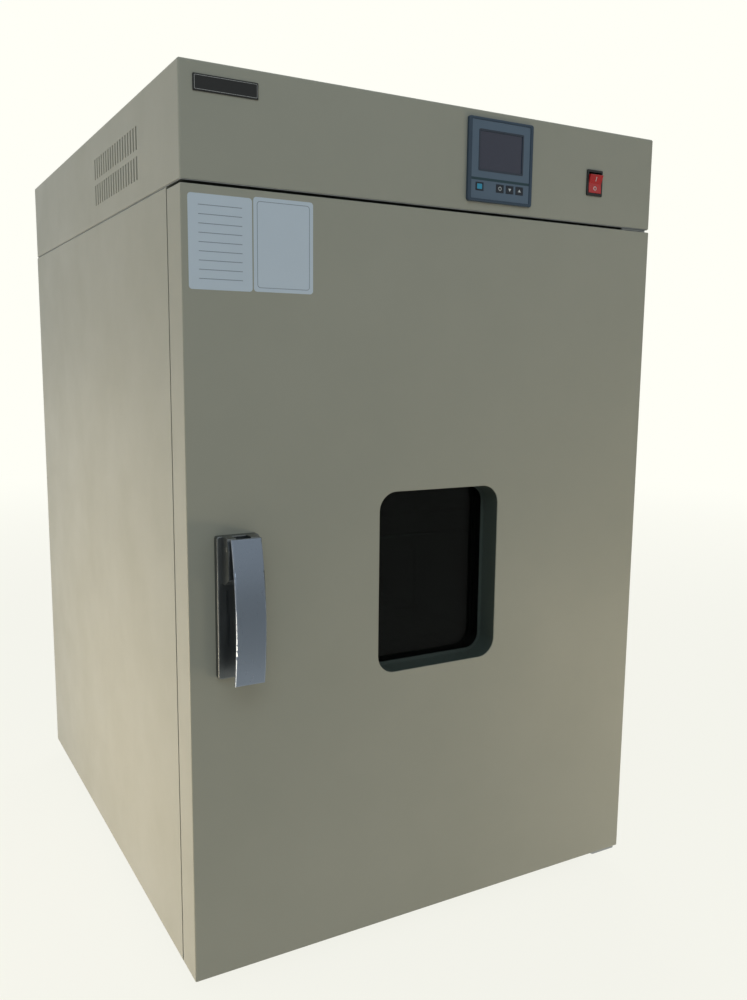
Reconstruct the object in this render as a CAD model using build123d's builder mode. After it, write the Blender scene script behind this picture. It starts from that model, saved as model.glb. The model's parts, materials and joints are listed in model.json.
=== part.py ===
from build123d import *
import os
from math import cos, radians, sin, sqrt

# Forced-air drying oven: a tall insulated cabinet with a control hood on top and one full-width door.
# Millimetres. +Z is up, the door faces -Y, and the origin lies on the floor under the middle of the oven.
# A depth is measured backwards from the face of the door, so it grows towards the rear panel.

os.makedirs("parts", exist_ok=True)

# Cabinet
BODY_W = 650.0
BODY_D = 790.0
BODY_H = 1000.0
FOOT_H = 22.0
FOOT_R = 20.0
FOOT_TAPER = 8.0
FOOT_BORE_R = 6.0
FOOT_INSET = 70.0
SHEET = 1.2
BEND = 2.5
LIP = 15.0
CUT_R = 1.0
FOLD_R = 0.3
WALL = 80.0
DOOR_RIM = 115.0
BACK_ROOM = 240.0
SCREW_R = 2.0
SCREW_HEAD_R = 4.0
SCREW_HEAD_T = 2.2
SCREW_PLAY = 0.1

# Control hood on top of the cabinet
HOOD_H = 115.0
HOOD_GAP = 4.0
SEAM = 1.0
VENT_PITCH = 11.6
VENT_COUNT = 18
VENT_W = 4.8
VENT_H = 26.0
VENT_START = 153.0
VENT_LOW = 23.0
VENT_STEP = 33.0
GLAND_IN = 90.0
GLAND_UP = 40.0
GLAND_R = 7.9
GLAND_INSIDE = 8.0
GLAND_NUT_R = 12.0
GLAND_NUT_T = 7.0
GLAND_CAP_R = 10.5
GLAND_CAP_TAPER = 10.0
GLAND_BORE_R = 4.5
GLAND_REACH = 20.0
RELAY_W = 60.0
RELAY_D = 100.0
RELAY_H = 26.0
RELAY_FIN_STEP = 9.0
RELAY_GAP = 4.0
RELAY_GAP_H = 12.0
RELAY_GAPS = 6

# Door
DOOR_T = 43.0
DOOR_GAP = 3.0
DOOR_RISE = 1.0
DOOR_CORNER = 1.5
DOOR_EDGE_R = 1.35
LINER_T = 1.0
CHANNEL_DEPTH = 8.0
PLUG_DEPTH = 10.0
PLUG_CLEAR = 6.0
GASKET_W = 10.0
GASKET_INSET = 3.0
SOFT_GAP = 0.3

# Window
WINDOW_W = 173.5
WINDOW_H = 223.0
WINDOW_R = 23.0
WINDOW_X = -1.5
REVEAL_DEPTH = 31.0
REVEAL_T = 1.2
REVEAL_LIP = 4.0
GLASS_T = 5.0
GLASS_MARGIN = 6.0
CLAMP_W = 16.0
CLAMP_T = 2.0
CLAMP_EDGE = 0.6
CLAMP_SCREW_R = 1.9
CLAMP_HEAD_R = 3.8
CLAMP_HEAD_T = 1.6
PORTHOLE_EDGE_R = 0.8

# Chamber
CHAMBER_W = BODY_W - 2 * WALL
CHAMBER_D = BODY_D - BACK_ROOM
CHAMBER_R = 12.0
PLENUM_D = 55.0
REAR_WOOL = 60.0

# Hinges
PIVOT_IN = 12.0
PIVOT_BACK = 14.0
HINGE_PIN_R = 4.0
HINGE_PIN_L = 16.0
RUNNING = 0.05
BUSH_R = 7.0
BUSH_FLANGE_R = 9.0
PLATE_W = 43.0
UPPER_PLATE_T = 2.0
LOWER_PLATE_T = 4.0
LOWER_PLATE_D = 78.0
PLATE_IN = 2.0
PLATE_BACK = 4.0
PLATE_R = 3.0
PIN_CHAMFER = 0.8
BUSH_END = 2.0

# Handle and latch
HANDLE_TO_CHAMBER = 25.25
HANDLE_Z = 438.5
BASE_W = 49.0
BASE_H = 159.0
BASE_T = 8.5
BASE_R = 3.0
BASE_EDGE_R = 1.5
CHEEK_T = 10.0
CHEEK_H = 52.0
CHEEK_REACH = 27.5
CHEEK_SLOPE = 3.5
CHEEK_R = 2.5
GRIP_W = 34.5
GRIP_T = 5.0
GRIP_EDGE_R = 1.8
GRIP_TOP = 33.0
GRIP_MID = 45.0
GRIP_END = 40.0
LEVER_DOWN = 12.5
LEVER_OUT = 20.0
LEVER_PIN_R = 3.0
LEVER_PIN_CHAMFER = 0.5
HUB_R = 6.5
HUB_W = 16.5
HUB_SIDE = 0.5
TAIL_T = 8.0
TAIL_H = 10.0
TAIL_REACH = 57.0
NOSE_L = 7.0
NOSE_H = 6.0
NOSE_CLEAR = 0.5
KEEPER_RIM = 6.0
KEEPER_ROOM = 6.0
KEEPER_WALL = 2.0
KEEPER_R = 3.0
KEEPER_CHAMFER = 1.5
KEEPER_CLEAR = 1.0
HOOK_PLAY = 2.5
HOOK_DROP_PLAY = 2.0
HOOK_EYE_R = 6.0
HOOK_CHAMFER = 3.0
TAIL_PLAY = 1.5
TAIL_HOLE_H = 22.0
FORK_ROOM = 1.0
LEVER_SWING = 20.0
WELL_T = 2.0
WELL_W = 13.0
WELL_D = 34.0
SPRING_ROOM = 30.0
SPRING_DEPTH = 14.0
SPRING_R = 4.0
SPRING_WIRE = 0.9
SPRING_TURNS = 6

# Controller and switch
BEZEL = 96.0
BEZEL_PROUD = 4.0
BEZEL_IN = 252.5
BEZEL_R = 3.0
BEZEL_EDGE_R = 1.2
CASE_SIZE = 90.0
CASE_D = 70.0
CASE_R = 2.0
MEMBRANE_W = 87.0
MEMBRANE_H = 90.0
MEMBRANE_SUNK = 0.8
MEMBRANE_R = 1.5
SCREEN_W = 62.0
SCREEN_H = 43.0
SCREEN_UP = 11.0
SCREEN_DEPTH = 2.0
SCREEN_R = 0.5
LENS_SUNK = 0.4
KEY_W = 11.0
KEY_H = 9.0
KEY_T = 3.0
KEY_TRAVEL = 0.8
KEY_CLEAR = 0.2
KEY_EDGE_R = 0.4
KEY_DOWN = 30.7
KEY_ROW = {"run_key": -31.0, "shift_key": -0.9, "down_key": 13.8, "up_key": 28.5}
SWITCH_W = 26.0
SWITCH_H = 32.0
SWITCH_IN = 101.0
SWITCH_FLANGE = 2.0
SWITCH_R = 1.5
SWITCH_EDGE_R = 0.8
SWITCH_PROUD = 2.0
SWITCH_BODY_D = 24.0
ROCKER_W = 20.6
ROCKER_H = 22.6
ROCKER_REACH = 8.2
ROCKER_FOLD = 6.0
ROCKER_TILT = 9.0
ROCKER_DEPTH = 4.0
ROCKER_ROOM = 10.0
ROCKER_CLEAR = 0.4
ROCKER_BACK = 3.0
ROCKER_TAPER = 2.0
ROCKER_EDGE_R = 0.6
CONTROL_RISE = 0.5
SWITCH_DROP = 8.0
BADGE_W = 70.5
BADGE_H = 16.5
BADGE_T = 1.5
BADGE_CHAMFER = 0.5
BADGE_IN = 15.0
BADGE_DOWN = 21.5

# Shelves and their carriers
STRIP_W = 20.0
STRIP_T = 8.0
STRIP_SHEET = 1.2
STRIP_END = 45.0
STRIP_FRONT = 95.0
STRIP_AHEAD = 157.2
SLOT_PITCH = 40.0
SLOT_LONG = 10.0
SLOT_SHORT = 4.0
LOWER_SHELF_UP = 166.0
UPPER_SHELF_UP = 366.0
SHELF_FRONT = 92.0
SHELF_END = 70.0
SHELF_SIDE = 14.0
SHELF_ROD = 3.0
SHELF_CROSS = 2.2
SHELF_WIRE = 1.5
SHELF_WIRES = 19
SHELF_CORNER = 14.0
CLIP_T = 1.5
CLIP_W = 18.0
CLIP_H = 16.0
CLIP_REACH = 14.0

# Fan, heater and exhaust
FAN_R = 85.0
FAN_T = 1.5
BLADE_D = 30.0
BLADES = 12
BLADE_T = 1.5
BLADE_IN_R = 48.0
BLADE_BOW = 6.0
INLET_R = 61.0
FAN_HUB_R = 16.0
FAN_HUB_D = 20.0
NUT_D = 8.0
NUT_R = 8.5
SHAFT_R = 5.0
SHAFT_TIP = 4.0
SHAFT_CHAMFER = 0.8
SHAFT_HOLE_R = 10.0
WALL_BUSH_R = 9.0
WALL_BUSH_L = 14.0
WALL_BUSH_RIM_R = 14.0
WALL_BUSH_RIM_T = 2.0
FAN_BACK = 8.0
MOTOR_R = 46.0
MOTOR_D = 60.0
MOTOR_STEP = 6.0
MOTOR_EAR_R = 9.0
MOTOR_EAR_T = 4.0
MOTOR_BOLT_AT = 33.0
HEATER_R = 112.0
HEATER_TUBE = 4.0
HEATER_BEND = 14.0
HEATER_OPEN = 16.0
LEG_OUT = 18.0
GRILLE_HOLE = 4.5
GRILLE_STEP = 18.0
GRILLE_RINGS = 4
DUCT_SLOT_W = 10.0
DUCT_WEB = 21.0
DUCT_SLOT_IN = 28.0
DUCT_SLOTS = 9
PROBE_R = 2.5
PROBE_SIDE = 60.0
PROBE_DOWN = 90.0
PROBE_REACH = 60.0
PROBE_TAIL = 10.0
PROBE_TIP_R = 2.0
EXHAUST_R = 20.0
EXHAUST_T = 1.2
EXHAUST_AHEAD = 237.2
PORT_R = 42.0
PORT_T = 4.0
PORT_CHAMFER = 1.0
DIAL_R = 36.0
DIAL_T = 3.0
DIAL_CHAMFER = 0.8
DIAL_TURN = 60.0
PORT_ARC_R = 13.0
PORT_SLOT_W = 8.0
PORT_SPAN = 18.0
PORT_PIN_R = 3.0
PORT_PIN_L = 8.0
KNOB_R = 9.0
KNOB_BAR = 8.0
KNOB_H = 15.0
KNOB_TAPER = 4.0
KNOB_EDGE_R = 1.5
LOUVRE_W = 75.0
LOUVRE_H = 5.0
LOUVRE_PITCH = 12.0
LOUVRES = 9

# Levels and planes that follow from the sizes above
FRONT = -(BODY_D + GLAND_REACH - GRIP_MID) / 2
UNDERSIDE = FOOT_H
TOP = UNDERSIDE + BODY_H
HOOD_Z = TOP - HOOD_H
CASING_TOP = HOOD_Z - SEAM
FRAME_DEPTH = DOOR_T + DOOR_GAP
LINER_DEPTH = FRAME_DEPTH + SHEET
LINER_D = CHAMBER_D + SHEET + PLENUM_D
LINER_BACK = LINER_DEPTH + LINER_D + LINER_T
WOOL_BACK = LINER_BACK + REAR_WOOL
DOOR_LOW = UNDERSIDE + DOOR_RISE
DOOR_H = HOOD_Z - HOOD_GAP - DOOR_LOW
DOOR_MID = DOOR_LOW + DOOR_H / 2
CHAMBER_H = DOOR_H - 2 * DOOR_RIM
INNER_W = BODY_W - 2 * SHEET
CASING_LOW = UNDERSIDE + SHEET
CASING_H = CASING_TOP - SHEET - CASING_LOW
CASING_MID = CASING_LOW + CASING_H / 2
CASING_INSIDE = (INNER_W - 2 * SHEET, CASING_H - 2 * SHEET)
WINDOW = (WINDOW_X, DOOR_MID)
CHAMBER = (0, DOOR_MID)
MOUTH = (CHAMBER_W, CHAMBER_H)
CHAMBER_LOW = DOOR_MID - CHAMBER_H / 2
CHANNEL_BACK = DOOR_T - CHANNEL_DEPTH
PLUG_BACK = DOOR_T + PLUG_DEPTH
PORTHOLE = (WINDOW_W, WINDOW_H)
GLASS = (WINDOW_W + 2 * GLASS_MARGIN, WINDOW_H + 2 * GLASS_MARGIN)
GLASS_R = WINDOW_R + GLASS_MARGIN
INNER_GLASS = PLUG_BACK - LINER_T - GLASS_T
HINGE_X = BODY_W / 2 - PIVOT_IN
HANDLE_X = -CHAMBER_W / 2 - HANDLE_TO_CHAMBER
BASE_TOP = UNDERSIDE + HANDLE_Z + BASE_H / 2
BASE_LOW = BASE_TOP - BASE_H
LEVER_Z = BASE_TOP - LEVER_DOWN
TAIL_DROP = (LEVER_OUT + TAIL_REACH) * sin(radians(LEVER_SWING)) + TAIL_H / 2
SLOT_TOP = LEVER_Z + TAIL_H / 2 + NOSE_H + NOSE_CLEAR
SLOT_LOW = LEVER_Z - TAIL_DROP - HOOK_DROP_PLAY
SLOT_W = TAIL_T + 2 * HOOK_PLAY
HOOK_SLOT = (HANDLE_X, (SLOT_LOW + SLOT_TOP) / 2)
HOOK_SLOT_SIZE = (SLOT_W, SLOT_TOP - SLOT_LOW)
WELL_FLOOR = LEVER_Z - SPRING_ROOM
WELL_TOP = LEVER_Z + TAIL_H / 2 + 2 * WELL_T
WELL = (HANDLE_X, (WELL_FLOOR - WELL_T + WELL_TOP) / 2)
WELL_SIZE = (WELL_W + 2 * WELL_T, WELL_TOP - WELL_FLOOR + WELL_T)
TAIL_HOLE = (TAIL_T + 2 * TAIL_PLAY, TAIL_HOLE_H)
BAFFLE_DEPTH = LINER_DEPTH + CHAMBER_D
FAN_DEPTH = LINER_BACK - LINER_T - FAN_BACK - FAN_T
MOTOR_DEPTH = WOOL_BACK + SHEET
CONTROL_Z = HOOD_Z + HOOD_H / 2 + CONTROL_RISE
SWITCH_Z = HOOD_Z + HOOD_H / 2 - SWITCH_DROP
CONTROL_X = BODY_W / 2 - BEZEL_IN
ROCKER_X = BODY_W / 2 - SWITCH_IN
BADGE = (-BODY_W / 2 + BADGE_IN + BADGE_W / 2, TOP - BADGE_DOWN)
SWITCH_BODY = (SWITCH_W - 2 * SWITCH_FLANGE, SWITCH_H - 2 * SWITCH_FLANGE)
GLAND = (BODY_W / 2 - GLAND_IN, HOOD_Z + GLAND_UP)
STRIP_H = CHAMBER_H - 2 * STRIP_END
STRIP_REAR = BAFFLE_DEPTH - STRIP_AHEAD
SHELF_D = CHAMBER_D - SHELF_END
SHELF_LEVELS = (CHAMBER_LOW + LOWER_SHELF_UP, CHAMBER_LOW + UPPER_SHELF_UP)
DUCT_SLOT_H = CHAMBER_H / (DUCT_SLOTS + 1) - DUCT_WEB
EXHAUST_Y = FRONT + BAFFLE_DEPTH - EXHAUST_AHEAD


def grown(size, margin):
    """A width and height, each larger by a margin on both sides."""
    return (size[0] + 2 * margin, size[1] + 2 * margin)


def upright(depth):
    """Upright plane at a depth behind the door's face; sketches on it use X and Z."""
    return Plane.XZ.offset(-(FRONT + depth))


def level(height):
    """Level plane at a height above the floor; sketches on it use X and Y."""
    return Plane.XY.offset(height)


def back_from(sketch, length, mode=Mode.ADD):
    """Grows a sketch on an upright plane backwards, away from the door's face."""
    extrude(sketch.sketch, amount=-length, mode=mode)


def ring(depth, length, centre, outer, inner, outer_r, inner_r, mode=Mode.ADD):
    """Adds a rectangular ring, or its space, to the piece being built."""
    with BuildSketch(upright(depth)) as outline:
        with Locations(centre):
            RectangleRounded(*outer, outer_r)
            RectangleRounded(*inner, inner_r, mode=Mode.SUBTRACT)
    back_from(outline, length, mode)


def pane(depth, length, centre, size, radius, mode=Mode.ADD):
    """Adds a rounded plate, or its space, to the piece being built."""
    with BuildSketch(upright(depth)) as outline:
        with Locations(centre):
            RectangleRounded(*size, radius)
    back_from(outline, length, mode)


def bore(depth, length, centre, radius, mode=Mode.SUBTRACT):
    """Cuts a round hole along Y, or adds a round bar there."""
    with BuildSketch(upright(depth)) as outline:
        with Locations(centre):
            Circle(radius)
    back_from(outline, length, mode)


def keep(piece, label):
    """Names a finished piece and writes its file."""
    piece.part.label = label
    export_step(piece.part, f"parts/{label}.step")


# Outer casing: one folded sheet that makes both sides and the floor, with inward lips on top
with BuildPart() as body_shell:
    with BuildSketch(upright(FRAME_DEPTH)) as casing_outline:
        with Locations((0, (UNDERSIDE + CASING_TOP) / 2)):
            casing = Rectangle(BODY_W, CASING_TOP - UNDERSIDE)
        fillet(casing.vertices(), BEND)
        with Locations((0, CASING_MID)):
            RectangleRounded(INNER_W, CASING_H, BEND - SHEET, mode=Mode.SUBTRACT)
        with Locations((0, CASING_TOP)):
            Rectangle(INNER_W - 2 * LIP, 4 * BEND, mode=Mode.SUBTRACT)
    back_from(casing_outline, BODY_D - FRAME_DEPTH - SHEET)
keep(body_shell, "body_shell")

# Rear panel with cooling slots for the fan motor
REAR_SCREWS = [
    (side * (BODY_W / 2 - LIP / 2), UNDERSIDE + LIP + step * (CASING_TOP - UNDERSIDE - 2 * LIP) / 4)
    for side in (-1, 1)
    for step in range(5)
]
with BuildPart() as rear_panel:
    with BuildSketch(upright(BODY_D - SHEET)) as panel_outline:
        with Locations((0, (UNDERSIDE + CASING_TOP) / 2)):
            RectangleRounded(BODY_W, CASING_TOP - UNDERSIDE, BEND)
        with Locations((0, DOOR_MID)):
            with GridLocations(LOUVRE_W + 2 * LOUVRE_PITCH, LOUVRE_PITCH, 2, LOUVRES):
                SlotOverall(LOUVRE_W, LOUVRE_H, mode=Mode.SUBTRACT)
        with Locations(*REAR_SCREWS):
            Circle(SCREW_R + SCREW_PLAY, mode=Mode.SUBTRACT)
    back_from(panel_outline, SHEET)
keep(rear_panel, "rear_panel")

# Front frame: the tray around the chamber's mouth that the door's seal presses on
with BuildPart() as front_frame:
    ring(FRAME_DEPTH, LIP, (0, CASING_MID), (INNER_W, CASING_H),
         CASING_INSIDE, BEND - SHEET, 0.1)
    pane(FRAME_DEPTH, SHEET, (0, CASING_MID), (INNER_W, CASING_H), BEND - SHEET)
    pane(FRAME_DEPTH, SHEET, CHAMBER, MOUTH, CHAMBER_R, Mode.SUBTRACT)
    pane(FRAME_DEPTH, SHEET, HOOK_SLOT, HOOK_SLOT_SIZE, CUT_R, Mode.SUBTRACT)
keep(front_frame, "front_frame")

# Keeper box behind the frame, where the latch hook enters
KEEPER_D = TAIL_REACH + KEEPER_ROOM - LINER_DEPTH
KEEPER_W = SLOT_W + 2 * KEEPER_RIM
KEEPER_H = SLOT_TOP - SLOT_LOW + 2 * KEEPER_RIM
with BuildPart() as latch_keeper:
    pane(LINER_DEPTH, KEEPER_D, HOOK_SLOT, (KEEPER_W, KEEPER_H), KEEPER_R)
    pane(LINER_DEPTH, KEEPER_D - KEEPER_WALL, HOOK_SLOT, HOOK_SLOT_SIZE, CUT_R, Mode.SUBTRACT)
    chamfer(latch_keeper.edges().group_by(Axis.Y)[-1], KEEPER_CHAMFER)
keep(latch_keeper, "latch_keeper")

# Chamber liner: five walls with rounded corners, open at the front
FAN = (0, DOOR_MID)
HEATER_TURN = (cos(radians(HEATER_OPEN)), sin(radians(HEATER_OPEN)))
LEG_X = HEATER_R * HEATER_TURN[1] - HEATER_BEND * HEATER_TURN[0]
LEG_Z = DOOR_MID - HEATER_R * HEATER_TURN[0] - HEATER_BEND * HEATER_TURN[1]
HEATER_LEGS = [(-LEG_X, LEG_Z), (LEG_X, LEG_Z)]
PROBE = (CHAMBER_W / 2 - PROBE_SIDE, DOOR_MID + CHAMBER_H / 2 - PROBE_DOWN)
with BuildPart() as chamber_liner:
    pane(LINER_DEPTH, LINER_D + LINER_T, CHAMBER, grown(MOUTH, LINER_T),
         CHAMBER_R + LINER_T)
    pane(LINER_DEPTH, LINER_D, CHAMBER, MOUTH, CHAMBER_R, Mode.SUBTRACT)
    bore(LINER_BACK - LINER_T, LINER_T, FAN, WALL_BUSH_R)
    for leg in HEATER_LEGS:
        bore(LINER_BACK - LINER_T, LINER_T, leg, HEATER_TUBE + SOFT_GAP)
    bore(LINER_BACK - LINER_T, LINER_T, PROBE, PROBE_R + SOFT_GAP)
    with BuildSketch(level(CHAMBER_LOW + CHAMBER_H)) as ceiling_hole:
        with Locations((0, EXHAUST_Y)):
            Circle(EXHAUST_R)
    extrude(ceiling_hole.sketch, amount=LINER_T, mode=Mode.SUBTRACT)
keep(chamber_liner, "chamber_liner")

# Mineral wool around the chamber, from the liner to the casing
with BuildPart() as insulation_jacket:
    pane(LINER_DEPTH, LINER_BACK - LINER_DEPTH, (0, CASING_MID), CASING_INSIDE, BEND)
    pane(LINER_DEPTH, LINER_BACK - LINER_DEPTH, CHAMBER,
         grown(MOUTH, LINER_T), CHAMBER_R + LINER_T, Mode.SUBTRACT)
    pane(LINER_DEPTH, KEEPER_D + KEEPER_CLEAR, HOOK_SLOT, grown((KEEPER_W, KEEPER_H), KEEPER_CLEAR), KEEPER_R,
         Mode.SUBTRACT)
    with BuildSketch(level(CHAMBER_LOW + CHAMBER_H)) as jacket_hole:
        with Locations((0, EXHAUST_Y)):
            Circle(EXHAUST_R + SOFT_GAP)
    extrude(jacket_hole.sketch, amount=CASING_TOP - CHAMBER_LOW - CHAMBER_H, mode=Mode.SUBTRACT)
keep(insulation_jacket, "insulation_jacket")

# Mineral wool slab behind the chamber, with passages for the shaft, heater and probe
with BuildPart() as rear_insulation:
    pane(LINER_BACK, REAR_WOOL, (0, CASING_MID), CASING_INSIDE, BEND)
    bore(LINER_BACK, REAR_WOOL, FAN, SHAFT_HOLE_R)
    for leg in HEATER_LEGS:
        bore(LINER_BACK, REAR_WOOL, leg, HEATER_TUBE + SOFT_GAP)
    bore(LINER_BACK, REAR_WOOL, PROBE, PROBE_R + SOFT_GAP)
keep(rear_insulation, "rear_insulation")

# Inner back sheet: holds the wool and carries the motor
MOTOR_BOLTS = [(x * MOTOR_BOLT_AT, DOOR_MID + z * MOTOR_BOLT_AT) for x in (-1, 1) for z in (-1, 1)]
with BuildPart() as inner_back_panel:
    pane(WOOL_BACK, SHEET, (0, CASING_MID), (INNER_W, CASING_H), BEND - SHEET)
    bore(WOOL_BACK, SHEET, FAN, SHAFT_HOLE_R)
    for leg in HEATER_LEGS:
        bore(WOOL_BACK, SHEET, leg, HEATER_TUBE + SOFT_GAP)
    bore(WOOL_BACK, SHEET, PROBE, PROBE_R + SOFT_GAP)
keep(inner_back_panel, "inner_back_panel")

# Control hood: folded box, open below, with ventilation slots in both sides
with BuildPart() as header_hood:
    with BuildSketch(level(HOOD_Z)):
        with Locations((0, FRONT + BODY_D / 2)):
            Rectangle(BODY_W, BODY_D)
    extrude(amount=HOOD_H)
    fillet(header_hood.edges().filter_by(Axis.Z) + header_hood.faces().sort_by(Axis.Z)[-1].edges(), BEND)
    offset(amount=-SHEET, openings=header_hood.faces().sort_by(Axis.Z)[0])
    with BuildSketch(Plane.YZ.offset(-BODY_W / 2)) as vents:
        row = VENT_START + VENT_PITCH * (VENT_COUNT - 1) / 2
        with Locations((FRONT + row, HOOD_Z + VENT_LOW + (VENT_H + VENT_STEP) / 2)):
            with GridLocations(VENT_PITCH, VENT_STEP, VENT_COUNT, 2):
                Rectangle(VENT_W, VENT_H)
    extrude(vents.sketch, amount=BODY_W, mode=Mode.SUBTRACT)
    pane(0, SHEET, (CONTROL_X, CONTROL_Z), (CASE_SIZE, CASE_SIZE), CASE_R, Mode.SUBTRACT)
    pane(0, SHEET, (ROCKER_X, SWITCH_Z), SWITCH_BODY, CUT_R, Mode.SUBTRACT)
    bore(BODY_D - SHEET, SHEET, GLAND, GLAND_R + SCREW_PLAY)
    with BuildSketch(level(TOP - SHEET)) as top_hole:
        with Locations((0, EXHAUST_Y)):
            Circle(EXHAUST_R)
    extrude(top_hole.sketch, amount=SHEET, mode=Mode.SUBTRACT)
keep(header_hood, "header_hood")

# Deck: the floor of the hood, which also roofs the door gap
with BuildPart() as header_deck:
    with BuildSketch(level(CASING_TOP)) as deck_outline:
        with Locations((0, FRONT + BODY_D / 2)):
            RectangleRounded(INNER_W, BODY_D - 2 * SHEET, BEND - SHEET)
        with Locations((0, EXHAUST_Y)):
            Circle(EXHAUST_R + SOFT_GAP, mode=Mode.SUBTRACT)
    extrude(amount=SHEET)
keep(header_deck, "header_deck")

# Four rubber feet, tapered and recessed for their screws
FOOT_SPREAD = (BODY_W - 2 * FOOT_INSET, BODY_D - 2 * FOOT_INSET)
with BuildPart() as feet:
    with BuildSketch(level(FOOT_H)) as foot_tops:
        with Locations((0, FRONT + BODY_D / 2)):
            with GridLocations(*FOOT_SPREAD, 2, 2):
                Circle(FOOT_R)
    extrude(foot_tops.sketch, amount=-FOOT_H, taper=FOOT_TAPER)
    with BuildSketch(level(0)) as foot_bores:
        with Locations((0, FRONT + BODY_D / 2)):
            with GridLocations(*FOOT_SPREAD, 2, 2):
                Circle(FOOT_BORE_R)
    extrude(foot_bores.sketch, amount=FOOT_H / 2, mode=Mode.SUBTRACT)
keep(feet, "feet")

# Door skin: folded pan that wraps the door's edges
with BuildPart() as door_skin:
    pane(0, DOOR_T, (0, DOOR_MID), (BODY_W, DOOR_H), DOOR_CORNER)
    fillet(door_skin.faces().sort_by(Axis.Y)[0].edges(), DOOR_EDGE_R)
    pane(SHEET, DOOR_T - SHEET, (0, DOOR_MID), (INNER_W, DOOR_H - 2 * SHEET), FOLD_R, Mode.SUBTRACT)
    pane(0, SHEET, WINDOW, PORTHOLE, WINDOW_R, Mode.SUBTRACT)
    fillet(door_skin.faces().sort_by(Axis.Y)[0].inner_wires()[0].edges(), PORTHOLE_EDGE_R)
    pane(0, SHEET, WELL, WELL_SIZE, CUT_R, Mode.SUBTRACT)
    with BuildSketch(level(DOOR_LOW)) as bush_seats:
        with Locations((HINGE_X, FRONT + PIVOT_BACK)):
            Circle(BUSH_R)
    extrude(bush_seats.sketch, amount=DOOR_H, mode=Mode.SUBTRACT)
keep(door_skin, "door_skin")

# Door inner panel: pressed sheet with a channel for the seal and a raised middle that enters the mouth
GASKET_IN = grown(MOUTH, GASKET_INSET)
GASKET_OUT = grown(GASKET_IN, GASKET_W)
CHANNEL_OUT = grown(GASKET_OUT, SOFT_GAP)
CHANNEL_WALL = grown(CHANNEL_OUT, LINER_T)
PLUG = grown(MOUTH, -PLUG_CLEAR)
PANEL_R = CHAMBER_R + GASKET_INSET + GASKET_W
with BuildPart() as door_inner_panel:
    ring(DOOR_T - LINER_T, LINER_T, (0, DOOR_MID), (INNER_W, DOOR_H - 2 * SHEET), CHANNEL_OUT, FOLD_R,
         PANEL_R)
    ring(CHANNEL_BACK, CHANNEL_DEPTH, CHAMBER, CHANNEL_WALL, CHANNEL_OUT, PANEL_R + LINER_T, PANEL_R)
    ring(CHANNEL_BACK - LINER_T, LINER_T, CHAMBER, CHANNEL_WALL, grown(PLUG, -LINER_T),
         PANEL_R + LINER_T, CHAMBER_R - LINER_T)
    ring(CHANNEL_BACK, PLUG_BACK - CHANNEL_BACK, CHAMBER, PLUG, grown(PLUG, -LINER_T), CHAMBER_R,
         CHAMBER_R - LINER_T)
    pane(PLUG_BACK - LINER_T, LINER_T, CHAMBER, PLUG, CHAMBER_R)
    pane(PLUG_BACK - LINER_T, LINER_T, WINDOW, grown(PORTHOLE, -REVEAL_LIP), WINDOW_R, Mode.SUBTRACT)
    pane(DOOR_T - LINER_T, LINER_T, HOOK_SLOT, HOOK_SLOT_SIZE, CUT_R, Mode.SUBTRACT)
keep(door_inner_panel, "door_inner_panel")

# Door insulation: one block that fills the pan and the raised middle
with BuildPart() as door_insulation:
    pane(SHEET, CHANNEL_BACK - LINER_T - SHEET, (0, DOOR_MID), (INNER_W, DOOR_H - 2 * SHEET), FOLD_R)
    pane(CHANNEL_BACK - LINER_T, PLUG_BACK - CHANNEL_BACK, CHAMBER, grown(PLUG, -LINER_T - SOFT_GAP),
         CHAMBER_R - LINER_T)
    pane(SHEET, PLUG_BACK, WINDOW, grown(GLASS, SOFT_GAP), GLASS_R, Mode.SUBTRACT)
    pane(SHEET, PLUG_BACK, WELL, grown(WELL_SIZE, WELL_T), CUT_R, Mode.SUBTRACT)
    with BuildSketch(level(DOOR_LOW)) as bush_room:
        with Locations((HINGE_X, FRONT + PIVOT_BACK)):
            Rectangle(2 * PIVOT_IN, 2 * PIVOT_BACK)
    extrude(bush_room.sketch, amount=DOOR_H, mode=Mode.SUBTRACT)
keep(door_insulation, "door_insulation")

# Silicone seal in the channel, with a rounded lip towards the frame
with BuildPart() as door_gasket:
    ring(CHANNEL_BACK, FRAME_DEPTH - CHANNEL_BACK - SOFT_GAP, CHAMBER, GASKET_OUT, GASKET_IN, PANEL_R,
         CHAMBER_R + GASKET_INSET)
    fillet(door_gasket.faces().sort_by(Axis.Y)[-1].edges(), GASKET_INSET)
keep(door_gasket, "door_gasket")

# Window: a sheet reveal, two panes with a spacer between them, and a clamping ring on the chamber side
LENS_OPEN = grown(PORTHOLE, -REVEAL_LIP)
with BuildPart() as window_reveal:
    ring(SHEET, REVEAL_T, WINDOW, GLASS, PORTHOLE, GLASS_R, WINDOW_R)
    ring(SHEET, REVEAL_DEPTH - SHEET, WINDOW, grown(PORTHOLE, REVEAL_T), PORTHOLE,
         WINDOW_R + REVEAL_T, WINDOW_R)
    ring(REVEAL_DEPTH - REVEAL_T, REVEAL_T, WINDOW, PORTHOLE, LENS_OPEN, WINDOW_R, WINDOW_R - REVEAL_LIP)
keep(window_reveal, "window_reveal")

with BuildPart() as outer_glass:
    pane(REVEAL_DEPTH, GLASS_T, WINDOW, GLASS, GLASS_R)
keep(outer_glass, "outer_glass")

with BuildPart() as glass_spacer:
    ring(REVEAL_DEPTH + GLASS_T, INNER_GLASS - REVEAL_DEPTH - GLASS_T, WINDOW, GLASS,
         PORTHOLE, GLASS_R, WINDOW_R)
keep(glass_spacer, "glass_spacer")

with BuildPart() as inner_glass:
    pane(INNER_GLASS, GLASS_T, WINDOW, GLASS, GLASS_R)
keep(inner_glass, "inner_glass")

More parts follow.
